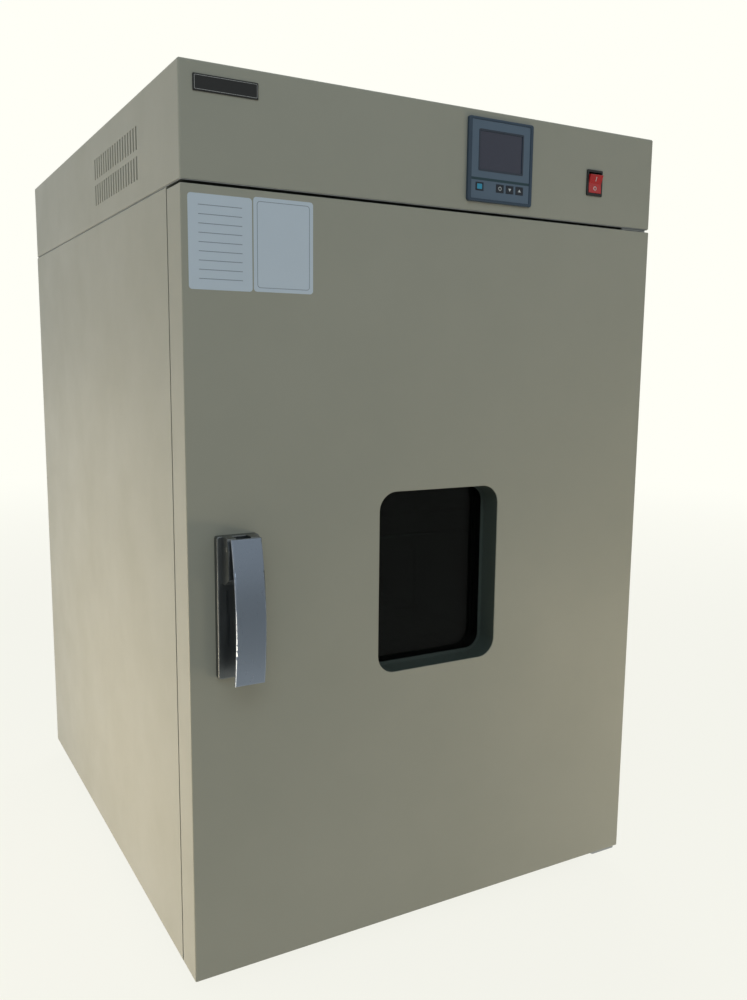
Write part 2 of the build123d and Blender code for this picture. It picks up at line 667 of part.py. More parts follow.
CLAMP_OUT = grown(PORTHOLE, CLAMP_W)
CLAMP_SCREWS = [(WINDOW_X + x * (WINDOW_W + CLAMP_W) / 2, DOOR_MID + z * (WINDOW_H + CLAMP_W) / 3)
                for x in (-1, 1) for z in (-1, 0, 1)]
with BuildPart() as glass_clamp:
    ring(PLUG_BACK, CLAMP_T, WINDOW, CLAMP_OUT, LENS_OPEN, WINDOW_R + CLAMP_W, WINDOW_R)
    chamfer(glass_clamp.faces().sort_by(Axis.Y)[-1].edges(), CLAMP_EDGE)
    for place in CLAMP_SCREWS:
        bore(PLUG_BACK, CLAMP_T, place, CLAMP_SCREW_R + SCREW_PLAY)
keep(glass_clamp, "glass_clamp")

with BuildPart() as clamp_screws:
    for place in CLAMP_SCREWS:
        bore(PLUG_BACK, CLAMP_T, place, CLAMP_SCREW_R, Mode.ADD)
        bore(PLUG_BACK + CLAMP_T, CLAMP_HEAD_T, place, CLAMP_HEAD_R, Mode.ADD)
    fillet(clamp_screws.edges().filter_by(GeomType.CIRCLE).group_by(Axis.Y)[-1], CLAMP_HEAD_T * 0.6)
keep(clamp_screws, "clamp_screws")

# Hinges: a plate with a fixed pin above and below the door, and a flanged bush at each end of the door
PLATE_X = BODY_W / 2 - PLATE_IN - PLATE_W / 2
with BuildPart() as upper_hinge_plate:
    with BuildSketch(level(CASING_TOP - UPPER_PLATE_T)):
        with Locations((PLATE_X, FRONT + (PLATE_BACK + DOOR_T) / 2)):
            RectangleRounded(PLATE_W, DOOR_T - PLATE_BACK, PLATE_R)
    extrude(amount=UPPER_PLATE_T)
    with BuildSketch(level(CASING_TOP - UPPER_PLATE_T)):
        with Locations((HINGE_X, FRONT + PIVOT_BACK)):
            Circle(HINGE_PIN_R)
    extrude(amount=-HINGE_PIN_L)
    chamfer(upper_hinge_plate.edges().filter_by(GeomType.CIRCLE).sort_by(Axis.Z)[0], PIN_CHAMFER)
keep(upper_hinge_plate, "upper_hinge_plate")

with BuildPart() as lower_hinge_plate:
    with BuildSketch(level(UNDERSIDE)):
        with Locations((PLATE_X, FRONT + PLATE_BACK + LOWER_PLATE_D / 2)):
            RectangleRounded(PLATE_W, LOWER_PLATE_D, PLATE_R)
    extrude(amount=-LOWER_PLATE_T)
    with BuildSketch(level(UNDERSIDE)):
        with Locations((HINGE_X, FRONT + PIVOT_BACK)):
            Circle(HINGE_PIN_R)
    extrude(amount=HINGE_PIN_L)
    chamfer(lower_hinge_plate.edges().filter_by(GeomType.CIRCLE).sort_by(Axis.Z)[-1], PIN_CHAMFER)
keep(lower_hinge_plate, "lower_hinge_plate")

BUSH_SHAPES = [
    (UNDERSIDE, DOOR_LOW, DOOR_LOW + HINGE_PIN_L + BUSH_END),
    (CASING_TOP - UPPER_PLATE_T, DOOR_LOW + DOOR_H, DOOR_LOW + DOOR_H - HINGE_PIN_L - BUSH_END),
]
with BuildPart() as hinge_bushes:
    for plate_face, door_face, sleeve_end in BUSH_SHAPES:
        with BuildSketch(level(plate_face)) as bush_flange:
            with Locations((HINGE_X, FRONT + PIVOT_BACK)):
                Circle(BUSH_FLANGE_R)
        extrude(bush_flange.sketch, amount=door_face - plate_face)
        with BuildSketch(level(door_face)) as bush_sleeve:
            with Locations((HINGE_X, FRONT + PIVOT_BACK)):
                Circle(BUSH_R)
        extrude(bush_sleeve.sketch, amount=sleeve_end - door_face)
        with BuildSketch(level(plate_face)) as bush_bore:
            with Locations((HINGE_X, FRONT + PIVOT_BACK)):
                Circle(HINGE_PIN_R + RUNNING)
        extrude(bush_bore.sketch, amount=sleeve_end - plate_face, mode=Mode.SUBTRACT)
keep(hinge_bushes, "hinge_bushes")

# Handle base: plate, two cheeks for the lever's pin, and a well behind the skin for the tail and its spring
SIDE = Plane.YZ.offset(HANDLE_X)
CHEEK_X = HUB_W / 2 + HUB_SIDE
LEVER_Y = FRONT - LEVER_OUT
CHEEK_FACE = FRONT - CHEEK_REACH
CHEEK_LOW = BASE_TOP - CHEEK_H
with BuildPart() as handle_base:
    pane(-BASE_T, BASE_T, (HANDLE_X, UNDERSIDE + HANDLE_Z), (BASE_W, BASE_H), BASE_R)
    fillet(handle_base.faces().sort_by(Axis.Y)[0].edges(), BASE_EDGE_R)
    with BuildSketch(SIDE) as cheek_outline:
        with BuildLine():
            Polyline(
                (FRONT - BASE_T, BASE_TOP), (FRONT - BASE_T, CHEEK_LOW),
                (LEVER_Y + CHEEK_SLOPE, CHEEK_LOW), (CHEEK_FACE, CHEEK_LOW + 2 * CHEEK_SLOPE),
                (CHEEK_FACE, LEVER_Z), (LEVER_Y - CHEEK_SLOPE, BASE_TOP), close=True,
            )
        make_face()
    extrude(cheek_outline.sketch, amount=CHEEK_X + CHEEK_T, both=True)
    cheek_edges = handle_base.edges().filter_by(Axis.X)
    fillet(cheek_edges.filter_by(lambda edge: edge.center().Y < LEVER_Y + 1), CHEEK_R)
    with BuildSketch(SIDE) as cheek_slot:
        with Locations((FRONT - BASE_T - CHEEK_REACH / 2, LEVER_Z)):
            Rectangle(CHEEK_REACH, 2 * CHEEK_H)
    extrude(cheek_slot.sketch, amount=CHEEK_X, both=True, mode=Mode.SUBTRACT)
    pane(0, WELL_D, WELL, WELL_SIZE, CUT_R)
    pane(0, WELL_D, WELL, grown(WELL_SIZE, -WELL_T), CUT_R, Mode.SUBTRACT)
    pane(-BASE_T, BASE_T, (HANDLE_X, LEVER_Z - TAIL_H / 3), TAIL_HOLE, CUT_R, Mode.SUBTRACT)
    with BuildSketch(SIDE) as pin_hole:
        with Locations((LEVER_Y, LEVER_Z)):
            Circle(LEVER_PIN_R)
    extrude(pin_hole.sketch, amount=CHEEK_X + CHEEK_T, both=True, mode=Mode.SUBTRACT)
keep(handle_base, "handle_base")

with BuildPart() as handle_pin:
    with BuildSketch(SIDE):
        with Locations((LEVER_Y, LEVER_Z)):
            Circle(LEVER_PIN_R)
    extrude(amount=CHEEK_X + CHEEK_T, both=True)
    chamfer(handle_pin.edges().filter_by(GeomType.CIRCLE), LEVER_PIN_CHAMFER)
keep(handle_pin, "handle_pin")

# Pull lever: bowed grip with a forked hub on the pin
with BuildPart() as handle_lever:
    with BuildSketch(SIDE) as grip_outline:
        with BuildLine():
            outer_bow = ThreePointArc(
                (FRONT - GRIP_TOP, BASE_TOP),
                (FRONT - GRIP_MID, UNDERSIDE + HANDLE_Z),
                (FRONT - GRIP_END, BASE_LOW),
            )
            inner_bow = ThreePointArc(
                (FRONT - GRIP_TOP + GRIP_T, BASE_TOP),
                (FRONT - GRIP_MID + GRIP_T, UNDERSIDE + HANDLE_Z),
                (FRONT - GRIP_END + GRIP_T, BASE_LOW),
            )
            Line(outer_bow @ 0, inner_bow @ 0)
            Line(outer_bow @ 1, inner_bow @ 1)
        make_face()
    extrude(grip_outline.sketch, amount=GRIP_W / 2, both=True)
    grip_edges = handle_lever.edges()
    fillet(grip_edges.filter_by(GeomType.CIRCLE) + grip_edges.filter_by(Axis.X), GRIP_EDGE_R)
    with BuildSketch(SIDE) as hub_outline:
        with Locations((LEVER_Y, LEVER_Z)):
            Circle(HUB_R)
        with Locations((LEVER_Y - (GRIP_TOP - LEVER_OUT) / 2, LEVER_Z)):
            Rectangle(GRIP_TOP - LEVER_OUT, 2 * HUB_R)
    extrude(hub_outline.sketch, amount=HUB_W / 2, both=True)
    with BuildSketch(SIDE) as fork_slot:
        with Locations((LEVER_Y, LEVER_Z)):
            Rectangle(2 * HUB_R + FORK_ROOM, 2 * HUB_R + FORK_ROOM)
    extrude(fork_slot.sketch, amount=TAIL_T / 2 + KEY_CLEAR, both=True, mode=Mode.SUBTRACT)
    with BuildSketch(SIDE) as lever_bore:
        with Locations((LEVER_Y, LEVER_Z)):
            Circle(LEVER_PIN_R + RUNNING)
    extrude(lever_bore.sketch, amount=HUB_W / 2, both=True, mode=Mode.SUBTRACT)
keep(handle_lever, "handle_lever")

# Latch hook: turns with the lever and reaches through the door into the keeper
with BuildPart() as latch_hook:
    with BuildSketch(SIDE) as hook_outline:
        with Locations((LEVER_Y, LEVER_Z)):
            Circle(HOOK_EYE_R)
        with Locations((LEVER_Y + (LEVER_OUT + TAIL_REACH) / 2, LEVER_Z)):
            Rectangle(LEVER_OUT + TAIL_REACH, TAIL_H)
        with Locations((FRONT + TAIL_REACH - NOSE_L / 2, LEVER_Z + NOSE_H / 2)):
            Rectangle(NOSE_L, TAIL_H + NOSE_H)
    extrude(hook_outline.sketch, amount=TAIL_T / 2, both=True)
    chamfer(latch_hook.edges().filter_by(Axis.X).group_by(Axis.Y)[-1].sort_by(Axis.Z)[-1], HOOK_CHAMFER)
    with BuildSketch(SIDE) as hook_bore:
        with Locations((LEVER_Y, LEVER_Z)):
            Circle(LEVER_PIN_R + RUNNING)
    extrude(hook_bore.sketch, amount=TAIL_T / 2, both=True, mode=Mode.SUBTRACT)
keep(latch_hook, "latch_hook")

# Return spring under the tail
SPRING_LOW = WELL_FLOOR + SPRING_WIRE
SPRING_TOP = LEVER_Z - TAIL_H / 2 - SPRING_WIRE - SOFT_GAP
with BuildPart() as lever_spring:
    with BuildLine() as coil:
        Helix((SPRING_TOP - SPRING_LOW) / SPRING_TURNS, SPRING_TOP - SPRING_LOW, SPRING_R,
              (HANDLE_X, FRONT + SPRING_DEPTH, SPRING_LOW))
    with BuildSketch(Plane(coil.line @ 0, z_dir=coil.line % 0)):
        Circle(SPRING_WIRE)
    sweep(path=coil.line, is_frenet=True)
keep(lever_spring, "lever_spring")

# Controller: bezel with a sunk face, a screen opening and four key wells, on a case behind the hood
SCREEN = (CONTROL_X, CONTROL_Z + SCREEN_UP)
FACE_DEPTH = MEMBRANE_SUNK - BEZEL_PROUD
KEY_WELL = KEY_T + KEY_TRAVEL + KEY_CLEAR
with BuildPart() as controller_body:
    pane(-BEZEL_PROUD, BEZEL_PROUD, (CONTROL_X, CONTROL_Z), (BEZEL, BEZEL), BEZEL_R)
    fillet(controller_body.faces().sort_by(Axis.Y)[0].edges(), BEZEL_EDGE_R)
    pane(0, CASE_D, (CONTROL_X, CONTROL_Z), (CASE_SIZE, CASE_SIZE), CASE_R)
    pane(-BEZEL_PROUD, MEMBRANE_SUNK, (CONTROL_X, CONTROL_Z), (MEMBRANE_W, MEMBRANE_H), MEMBRANE_R,
         Mode.SUBTRACT)
    pane(FACE_DEPTH, SCREEN_DEPTH, SCREEN, (SCREEN_W, SCREEN_H), SCREEN_R, Mode.SUBTRACT)
    for offset_x in KEY_ROW.values():
        pane(FACE_DEPTH, KEY_WELL, (CONTROL_X + offset_x, CONTROL_Z - KEY_DOWN),
             grown((KEY_W, KEY_H), KEY_CLEAR), CUT_R, Mode.SUBTRACT)
keep(controller_body, "controller_body")

with BuildPart() as display_lens:
    pane(FACE_DEPTH + LENS_SUNK, SCREEN_DEPTH - LENS_SUNK, SCREEN, (SCREEN_W, SCREEN_H), SCREEN_R)
keep(display_lens, "display_lens")

for key_name, offset_x in KEY_ROW.items():
    with BuildPart() as key:
        key_place = (CONTROL_X + offset_x, CONTROL_Z - KEY_DOWN)
        pane(FACE_DEPTH - KEY_TRAVEL / 2, KEY_T, key_place, (KEY_W, KEY_H), CUT_R)
        fillet(key.faces().sort_by(Axis.Y)[0].edges(), KEY_EDGE_R)
    keep(key, key_name)

# Power switch: a bezel with its body, and a rocker with a shallow fold that rests with its top half out
ROCKER_PIVOT = Vector(ROCKER_X, FRONT + ROCKER_DEPTH, SWITCH_Z)
ROCKER_SIDE = ROCKER_H / 2
with BuildPart() as rocker_bezel:
    pane(-SWITCH_PROUD, SWITCH_PROUD, (ROCKER_X, SWITCH_Z), (SWITCH_W, SWITCH_H), SWITCH_R)
    fillet(rocker_bezel.faces().sort_by(Axis.Y)[0].edges(), SWITCH_EDGE_R)
    pane(0, SWITCH_BODY_D, (ROCKER_X, SWITCH_Z), SWITCH_BODY, CUT_R)
    pane(-SWITCH_PROUD, SWITCH_PROUD + ROCKER_ROOM, (ROCKER_X, SWITCH_Z),
         (ROCKER_W + 2 * ROCKER_CLEAR, ROCKER_H + 8 * ROCKER_CLEAR), SCREEN_R, Mode.SUBTRACT)
keep(rocker_bezel, "rocker_bezel")

ROCKER_PLANE = Plane(
    ROCKER_PIVOT, x_dir=(0, cos(radians(ROCKER_TILT)), sin(radians(ROCKER_TILT))), z_dir=(1, 0, 0)
)
with BuildPart() as rocker_button:
    with BuildSketch(ROCKER_PLANE):
        with BuildLine():
            Polyline(
                (ROCKER_BACK, ROCKER_TAPER - ROCKER_SIDE), (-ROCKER_REACH, -ROCKER_SIDE), (-ROCKER_FOLD, 0),
                (-ROCKER_REACH, ROCKER_SIDE), (ROCKER_BACK, ROCKER_SIDE - ROCKER_TAPER), close=True,
            )
        make_face()
    extrude(amount=ROCKER_W / 2, both=True)
    fillet(rocker_button.edges().group_by(Axis.Y)[0], ROCKER_EDGE_R)
keep(rocker_button, "rocker_button")

# Bare plate on the hood's left corner
with BuildPart() as name_plate:
    pane(-BADGE_T, BADGE_T, BADGE, (BADGE_W, BADGE_H), CUT_R)
    chamfer(name_plate.faces().sort_by(Axis.Y)[0].edges(), BADGE_CHAMFER)
keep(name_plate, "name_plate")

# Air baffle: tray in front of the fan, with a round grille in the middle and outlet slots at both sides
with BuildPart() as air_baffle:
    with BuildSketch(upright(BAFFLE_DEPTH)) as baffle_outline:
        with Locations(CHAMBER):
            RectangleRounded(CHAMBER_W, CHAMBER_H, CHAMBER_R)
        with Locations(FAN):
            Circle(GRILLE_HOLE, mode=Mode.SUBTRACT)
            for turn in range(1, GRILLE_RINGS):
                with PolarLocations(turn * GRILLE_STEP, 6 * turn):
                    Circle(GRILLE_HOLE, mode=Mode.SUBTRACT)
        with Locations(CHAMBER):
            with GridLocations(CHAMBER_W - 2 * DUCT_SLOT_IN, CHAMBER_H / (DUCT_SLOTS + 1), 2, DUCT_SLOTS):
                Rectangle(DUCT_SLOT_W, DUCT_SLOT_H, mode=Mode.SUBTRACT)
        with Locations(PROBE):
            Circle(PROBE_R + SOFT_GAP, mode=Mode.SUBTRACT)
    back_from(baffle_outline, SHEET)
keep(air_baffle, "air_baffle")

# Fan: back disc, curved blades and an inlet ring, on a shaft with a nut
with BuildSketch() as blade_outline:
    with BuildLine():
        ThreePointArc((BLADE_IN_R, 0), ((BLADE_IN_R + FAN_R) / 2, BLADE_BOW), (FAN_R - BLADE_T, -BLADE_BOW))
    trace(line_width=BLADE_T)
with BuildPart() as fan_impeller:
    bore(FAN_DEPTH, FAN_T, FAN, FAN_R, Mode.ADD)
    bore(FAN_DEPTH - FAN_HUB_D, FAN_HUB_D, FAN, FAN_HUB_R, Mode.ADD)
    with BuildSketch(upright(FAN_DEPTH - BLADE_D)) as blades:
        with Locations(FAN):
            with PolarLocations(0, BLADES):
                add(blade_outline.sketch)
    back_from(blades, BLADE_D)
    with BuildSketch(upright(FAN_DEPTH - BLADE_D - FAN_T)) as inlet_ring:
        with Locations(FAN):
            Circle(FAN_R)
            Circle(INLET_R, mode=Mode.SUBTRACT)
    back_from(inlet_ring, FAN_T)
    bore(FAN_DEPTH - FAN_HUB_D, FAN_HUB_D + FAN_T, FAN, SHAFT_R)
keep(fan_impeller, "fan_impeller")

SHAFT_START = FAN_DEPTH - FAN_HUB_D - NUT_D - SHAFT_TIP
with BuildPart() as fan_shaft:
    bore(SHAFT_START, MOTOR_DEPTH + MOTOR_D / 2 - SHAFT_START, FAN, SHAFT_R, Mode.ADD)
    chamfer(fan_shaft.edges().filter_by(GeomType.CIRCLE), SHAFT_CHAMFER)
keep(fan_shaft, "fan_shaft")

with BuildPart() as fan_nut:
    with BuildSketch(upright(FAN_DEPTH - FAN_HUB_D - NUT_D)) as nut_outline:
        with Locations(FAN):
            RegularPolygon(NUT_R, 6, major_radius=False)
            Circle(SHAFT_R, mode=Mode.SUBTRACT)
    back_from(nut_outline, NUT_D)
keep(fan_nut, "fan_nut")

# Bush that closes the wall around the shaft
with BuildPart() as shaft_bush:
    bore(LINER_BACK - LINER_T, LINER_T + WALL_BUSH_L, FAN, WALL_BUSH_R, Mode.ADD)
    bore(LINER_BACK - LINER_T - WALL_BUSH_RIM_T, WALL_BUSH_RIM_T, FAN, WALL_BUSH_RIM_R, Mode.ADD)
    bore(LINER_BACK - LINER_T - WALL_BUSH_RIM_T, WALL_BUSH_RIM_T + LINER_T + WALL_BUSH_L, FAN,
         SHAFT_R + RUNNING)
keep(shaft_bush, "shaft_bush")

# Fan motor on the inner back sheet, with a stepped housing and four mounting ears
with BuildPart() as fan_motor:
    with BuildSketch(Plane.YZ) as motor_profile:
        with BuildLine():
            start = FRONT + MOTOR_DEPTH
            end = start + MOTOR_D
            rim = DOOR_MID + MOTOR_R
            Polyline(
                (start, DOOR_MID), (start, rim - MOTOR_STEP), (start + MOTOR_STEP, rim - MOTOR_STEP),
                (start + MOTOR_STEP, rim), (end - 2 * MOTOR_STEP, rim), (end - MOTOR_STEP, rim - MOTOR_STEP),
                (end, rim - 3 * MOTOR_STEP), (end, DOOR_MID), close=True,
            )
        make_face()
    revolve(axis=Axis((0, 0, DOOR_MID), (0, 1, 0)))
    with BuildSketch(upright(MOTOR_DEPTH)) as motor_ears:
        with Locations(*MOTOR_BOLTS):
            Circle(MOTOR_EAR_R)
    back_from(motor_ears, MOTOR_EAR_T)
    bore(MOTOR_DEPTH, MOTOR_D / 2 + SHAFT_CHAMFER, FAN, SHAFT_R + RUNNING)
keep(fan_motor, "fan_motor")

# Tubular heater: an open loop around the fan, bent at both ends into legs that run back through the wall
LOOP_DEPTH = FAN_DEPTH - BLADE_D / 2
LOOP_END_X = HEATER_R * HEATER_TURN[1]
LOOP_END_Z = DOOR_MID - HEATER_R * HEATER_TURN[0]
ELBOW_X = LOOP_END_X - HEATER_BEND * HEATER_TURN[0] * sqrt(0.5)
ELBOW_Z = LOOP_END_Z - HEATER_BEND * HEATER_TURN[1] * sqrt(0.5)
LEG_END = FRONT + MOTOR_DEPTH + LEG_OUT
LOOP_Y = FRONT + LOOP_DEPTH
LEG_BEND_Y = LOOP_Y + HEATER_BEND
ELBOW_Y = LEG_BEND_Y - HEATER_BEND * sqrt(0.5)
with BuildPart() as heater_coil:
    with BuildLine() as loop:
        left_leg = Line((-LEG_X, LEG_END, LEG_Z), (-LEG_X, LEG_BEND_Y, LEG_Z))
        bend = ThreePointArc(left_leg @ 1, (-ELBOW_X, ELBOW_Y, ELBOW_Z), (-LOOP_END_X, LOOP_Y, LOOP_END_Z))
        turn = ThreePointArc(bend @ 1, (0, LOOP_Y, DOOR_MID + HEATER_R), (LOOP_END_X, LOOP_Y, LOOP_END_Z))
        right_bend = ThreePointArc(turn @ 1, (ELBOW_X, ELBOW_Y, ELBOW_Z), (LEG_X, LEG_BEND_Y, LEG_Z))
        Line(right_bend @ 1, (LEG_X, LEG_END, LEG_Z))
    with BuildSketch(Plane((-LEG_X, LEG_END, LEG_Z), z_dir=(0, -1, 0))):
        Circle(HEATER_TUBE)
    sweep(path=loop.line)
keep(heater_coil, "heater_coil")

# Temperature probe through the rear wall and the baffle
with BuildPart() as temperature_probe:
    bore(BAFFLE_DEPTH - PROBE_REACH, MOTOR_DEPTH + PROBE_TAIL - BAFFLE_DEPTH + PROBE_REACH, PROBE, PROBE_R,
         Mode.ADD)
    fillet(temperature_probe.edges().filter_by(GeomType.CIRCLE).sort_by(Axis.Y)[0], PROBE_TIP_R)
keep(temperature_probe, "temperature_probe")

# Slotted strips on the chamber's side walls
for side, side_name in ((-1, "left"), (1, "right")):
    for strip_depth, place_name in ((STRIP_FRONT, "front"), (STRIP_REAR, "rear")):
        wall = side * CHAMBER_W / 2
        with BuildPart() as strip:
            with BuildSketch(level(DOOR_MID - STRIP_H / 2)):
                with Locations((wall - side * STRIP_T / 2, FRONT + strip_depth + STRIP_W / 2)):
                    Rectangle(STRIP_T, STRIP_W)
                hollow = STRIP_T - STRIP_SHEET
                with Locations((wall - side * hollow / 2, FRONT + strip_depth + STRIP_W / 2)):
                    Rectangle(hollow, STRIP_W - 2 * STRIP_SHEET, mode=Mode.SUBTRACT)
            extrude(amount=STRIP_H)
            with BuildSketch(Plane.YZ.offset(wall - side * STRIP_T)) as strip_slots:
                with Locations((FRONT + strip_depth + STRIP_W / 2, DOOR_MID)):
                    with GridLocations(1, SLOT_PITCH, 1, int(STRIP_H / SLOT_PITCH) - 1):
                        Rectangle(SLOT_LONG, SLOT_SHORT)
            extrude(strip_slots.sketch, amount=2 * STRIP_SHEET, both=True, mode=Mode.SUBTRACT)
        keep(strip, f"strip_{place_name}_{side_name}")

# Clips that hook on the strips and carry the shelves
SHELF_X = CHAMBER_W / 2 - SHELF_SIDE
with BuildPart() as shelf_clips:
    for height in SHELF_LEVELS:
        seat = height - 2 * SHELF_ROD - SOFT_GAP
        for side in (-1, 1):
            face = side * (CHAMBER_W / 2 - STRIP_T)
            for strip_depth in (STRIP_FRONT, STRIP_REAR):
                with BuildSketch(upright(strip_depth + (STRIP_W - CLIP_W) / 2)) as clip_outline:
                    with BuildLine():
                        Polyline(
                            (face, seat), (face - side * CLIP_REACH, seat),
                            (face - side * CLIP_REACH, seat - CLIP_T), (face - side * CLIP_T, seat - CLIP_T),
                            (face - side * CLIP_T, seat - CLIP_H), (face, seat - CLIP_H), close=True,
                        )
                    make_face()
                back_from(clip_outline, CLIP_W)
keep(shelf_clips, "shelf_clips")

# Wire shelves: a rod frame with thinner wires welded across its top
for height, shelf_name in zip(SHELF_LEVELS, ("lower_shelf", "upper_shelf")):
    rod_z = height - SHELF_ROD
    near = FRONT + SHELF_FRONT + SHELF_ROD
    far = near + SHELF_D
    side_x = SHELF_X - SHELF_ROD
    with BuildPart() as shelf:
        with BuildLine(level(rod_z)) as half_frame:
            FilletPolyline((0, near), (side_x, near), (side_x, far), (0, far), radius=SHELF_CORNER)
        with BuildSketch(Plane((0, near, rod_z), z_dir=(1, 0, 0))):
            Circle(SHELF_ROD)
        sweep(path=half_frame.line)
        mirror(about=Plane.YZ)
        with BuildSketch(Plane.XZ.offset(-near)) as wires:
            with Locations((0, rod_z + SHELF_ROD - SHELF_WIRE / 2)):
                with GridLocations(2 * side_x / (SHELF_WIRES + 1), 1, SHELF_WIRES, 1):
                    Circle(SHELF_WIRE)
        extrude(wires.sketch, amount=-SHELF_D)
        with BuildSketch(Plane.YZ.offset(-side_x)) as cross_rods:
            with Locations((near + SHELF_D / 3, rod_z), (near + 2 * SHELF_D / 3, rod_z)):
                Circle(SHELF_CROSS)
        extrude(cross_rods.sketch, amount=2 * side_x)
    keep(shelf, shelf_name)

# Exhaust: a duct from the chamber's ceiling to the hood's top, a port plate and a dial that opens it
def exhaust_openings(height, thickness, turn):
    """Cuts three curved openings through the piece being built, turned about the duct's axis."""
    with BuildSketch(level(height)) as openings:
        with Locations((0, EXHAUST_Y)):
            with PolarLocations(0, 3, start_angle=turn):
                SlotArc(CenterArc((0, 0), PORT_ARC_R, -PORT_SPAN / 2, PORT_SPAN), PORT_SLOT_W)
    extrude(openings.sketch, amount=thickness, mode=Mode.SUBTRACT)


with BuildPart() as exhaust_duct:
    with BuildSketch(level(CHAMBER_LOW + CHAMBER_H)):
        with Locations((0, EXHAUST_Y)):
            Circle(EXHAUST_R)
            Circle(EXHAUST_R - EXHAUST_T, mode=Mode.SUBTRACT)
    extrude(amount=TOP - CHAMBER_LOW - CHAMBER_H)
keep(exhaust_duct, "exhaust_duct")

with BuildPart() as exhaust_port:
    with BuildSketch(level(TOP)):
        with Locations((0, EXHAUST_Y)):
            Circle(PORT_R)
    extrude(amount=PORT_T)
    chamfer(exhaust_port.faces().sort_by(Axis.Z)[-1].edges(), PORT_CHAMFER)
    exhaust_openings(TOP, PORT_T, 0)
    with BuildSketch(level(TOP + PORT_T)):
        with Locations((0, EXHAUST_Y)):
            Circle(PORT_PIN_R)
    extrude(amount=DIAL_T + PORT_PIN_L)
keep(exhaust_port, "exhaust_port")

with BuildPart() as exhaust_dial:
    with BuildSketch(level(TOP + PORT_T)):
        with Locations((0, EXHAUST_Y)):
            Circle(DIAL_R)
    extrude(amount=DIAL_T)
    chamfer(exhaust_dial.faces().sort_by(Axis.Z)[-1].edges(), DIAL_CHAMFER)
    exhaust_openings(TOP + PORT_T, DIAL_T, DIAL_TURN)
    with BuildSketch(level(TOP + PORT_T + DIAL_T)):
        with Locations((0, EXHAUST_Y)):
            SlotOverall(2 * (DIAL_R - KNOB_BAR), KNOB_BAR)
            Circle(KNOB_R)
    extrude(amount=KNOB_H, taper=KNOB_TAPER)
    fillet(exhaust_dial.faces().sort_by(Axis.Z)[-1].edges(), KNOB_EDGE_R)
    with BuildSketch(level(TOP + PORT_T)):
        with Locations((0, EXHAUST_Y)):
            Circle(PORT_PIN_R + RUNNING)
    extrude(amount=DIAL_T + PORT_PIN_L + SOFT_GAP, mode=Mode.SUBTRACT)
keep(exhaust_dial, "exhaust_dial")

# Solid-state relay for the heater on the hood's deck
with BuildPart() as heater_relay:
    with BuildSketch(level(CASING_TOP + SHEET)):
        with Locations((-BODY_W / 4, FRONT + BODY_D / 2)):
            RectangleRounded(RELAY_W, RELAY_D, CUT_R)
    extrude(amount=RELAY_H)
    with BuildSketch(upright((BODY_D - RELAY_D) / 2)) as fins:
        with Locations((-BODY_W / 4, CASING_TOP + SHEET + RELAY_H)):
            with GridLocations(RELAY_FIN_STEP, 1, RELAY_GAPS, 1):
                Rectangle(RELAY_GAP, 2 * RELAY_GAP_H)
    back_from(fins, RELAY_D, Mode.SUBTRACT)
keep(heater_relay, "heater_relay")

# Cable gland in the hood's rear wall
with BuildPart() as cable_gland:
    bore(BODY_D - SHEET - GLAND_INSIDE, SHEET + GLAND_INSIDE, GLAND, GLAND_R, Mode.ADD)
    with BuildSketch(upright(BODY_D)) as gland_nut:
        with Locations(GLAND):
            RegularPolygon(GLAND_NUT_R, 6, major_radius=False)
    back_from(gland_nut, GLAND_NUT_T)
    with BuildSketch(upright(BODY_D + GLAND_NUT_T)) as gland_cap:
        with Locations(GLAND):
            Circle(GLAND_CAP_R)
    extrude(gland_cap.sketch, amount=-(GLAND_REACH - GLAND_NUT_T), taper=GLAND_CAP_TAPER)
    bore(BODY_D - SHEET - GLAND_INSIDE, SHEET + GLAND_INSIDE + GLAND_REACH, GLAND, GLAND_BORE_R)
keep(cable_gland, "cable_gland")

# Screws that hold the rear panel
with BuildPart() as casing_screws:
    for place in REAR_SCREWS:
        bore(BODY_D - SHEET, SHEET, place, SCREW_R, Mode.ADD)
        bore(BODY_D, SCREW_HEAD_T, place, SCREW_HEAD_R, Mode.ADD)
    fillet(casing_screws.edges().filter_by(GeomType.CIRCLE).group_by(Axis.Y)[-1], SCREW_HEAD_T / 2)
keep(casing_screws, "casing_screws")
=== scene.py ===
"""Dresses the forced-air drying oven: finishes, labels, marks, fasteners, stage, lamps and camera."""

import json
import logging
import math
from dataclasses import dataclass
from enum import Enum
from functools import partial
from typing import Callable, Iterable, Sequence

import bmesh
import bpy
from mathutils import Matrix, Vector


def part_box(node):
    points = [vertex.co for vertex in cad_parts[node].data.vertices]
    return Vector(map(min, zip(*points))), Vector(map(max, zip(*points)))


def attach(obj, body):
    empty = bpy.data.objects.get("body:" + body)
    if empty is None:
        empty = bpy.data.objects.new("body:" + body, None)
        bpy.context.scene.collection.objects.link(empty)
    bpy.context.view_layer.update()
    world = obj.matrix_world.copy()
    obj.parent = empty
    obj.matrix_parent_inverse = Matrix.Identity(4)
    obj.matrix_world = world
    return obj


log = logging.getLogger("oven")
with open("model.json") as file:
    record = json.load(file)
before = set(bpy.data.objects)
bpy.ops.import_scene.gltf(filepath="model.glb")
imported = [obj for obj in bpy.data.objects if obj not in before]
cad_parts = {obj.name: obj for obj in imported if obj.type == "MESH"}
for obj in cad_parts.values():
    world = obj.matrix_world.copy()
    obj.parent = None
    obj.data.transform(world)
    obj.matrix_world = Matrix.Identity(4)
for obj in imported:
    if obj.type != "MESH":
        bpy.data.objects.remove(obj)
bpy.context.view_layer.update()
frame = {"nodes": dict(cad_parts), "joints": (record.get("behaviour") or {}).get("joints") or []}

Flat = tuple[float, float]
Point = tuple[float, float, float]
Colour = tuple[float, float, float]
Screen = tuple[int, int, int]
Mesh = bmesh.types.BMesh
Inputs = bpy.types.NodeInputs
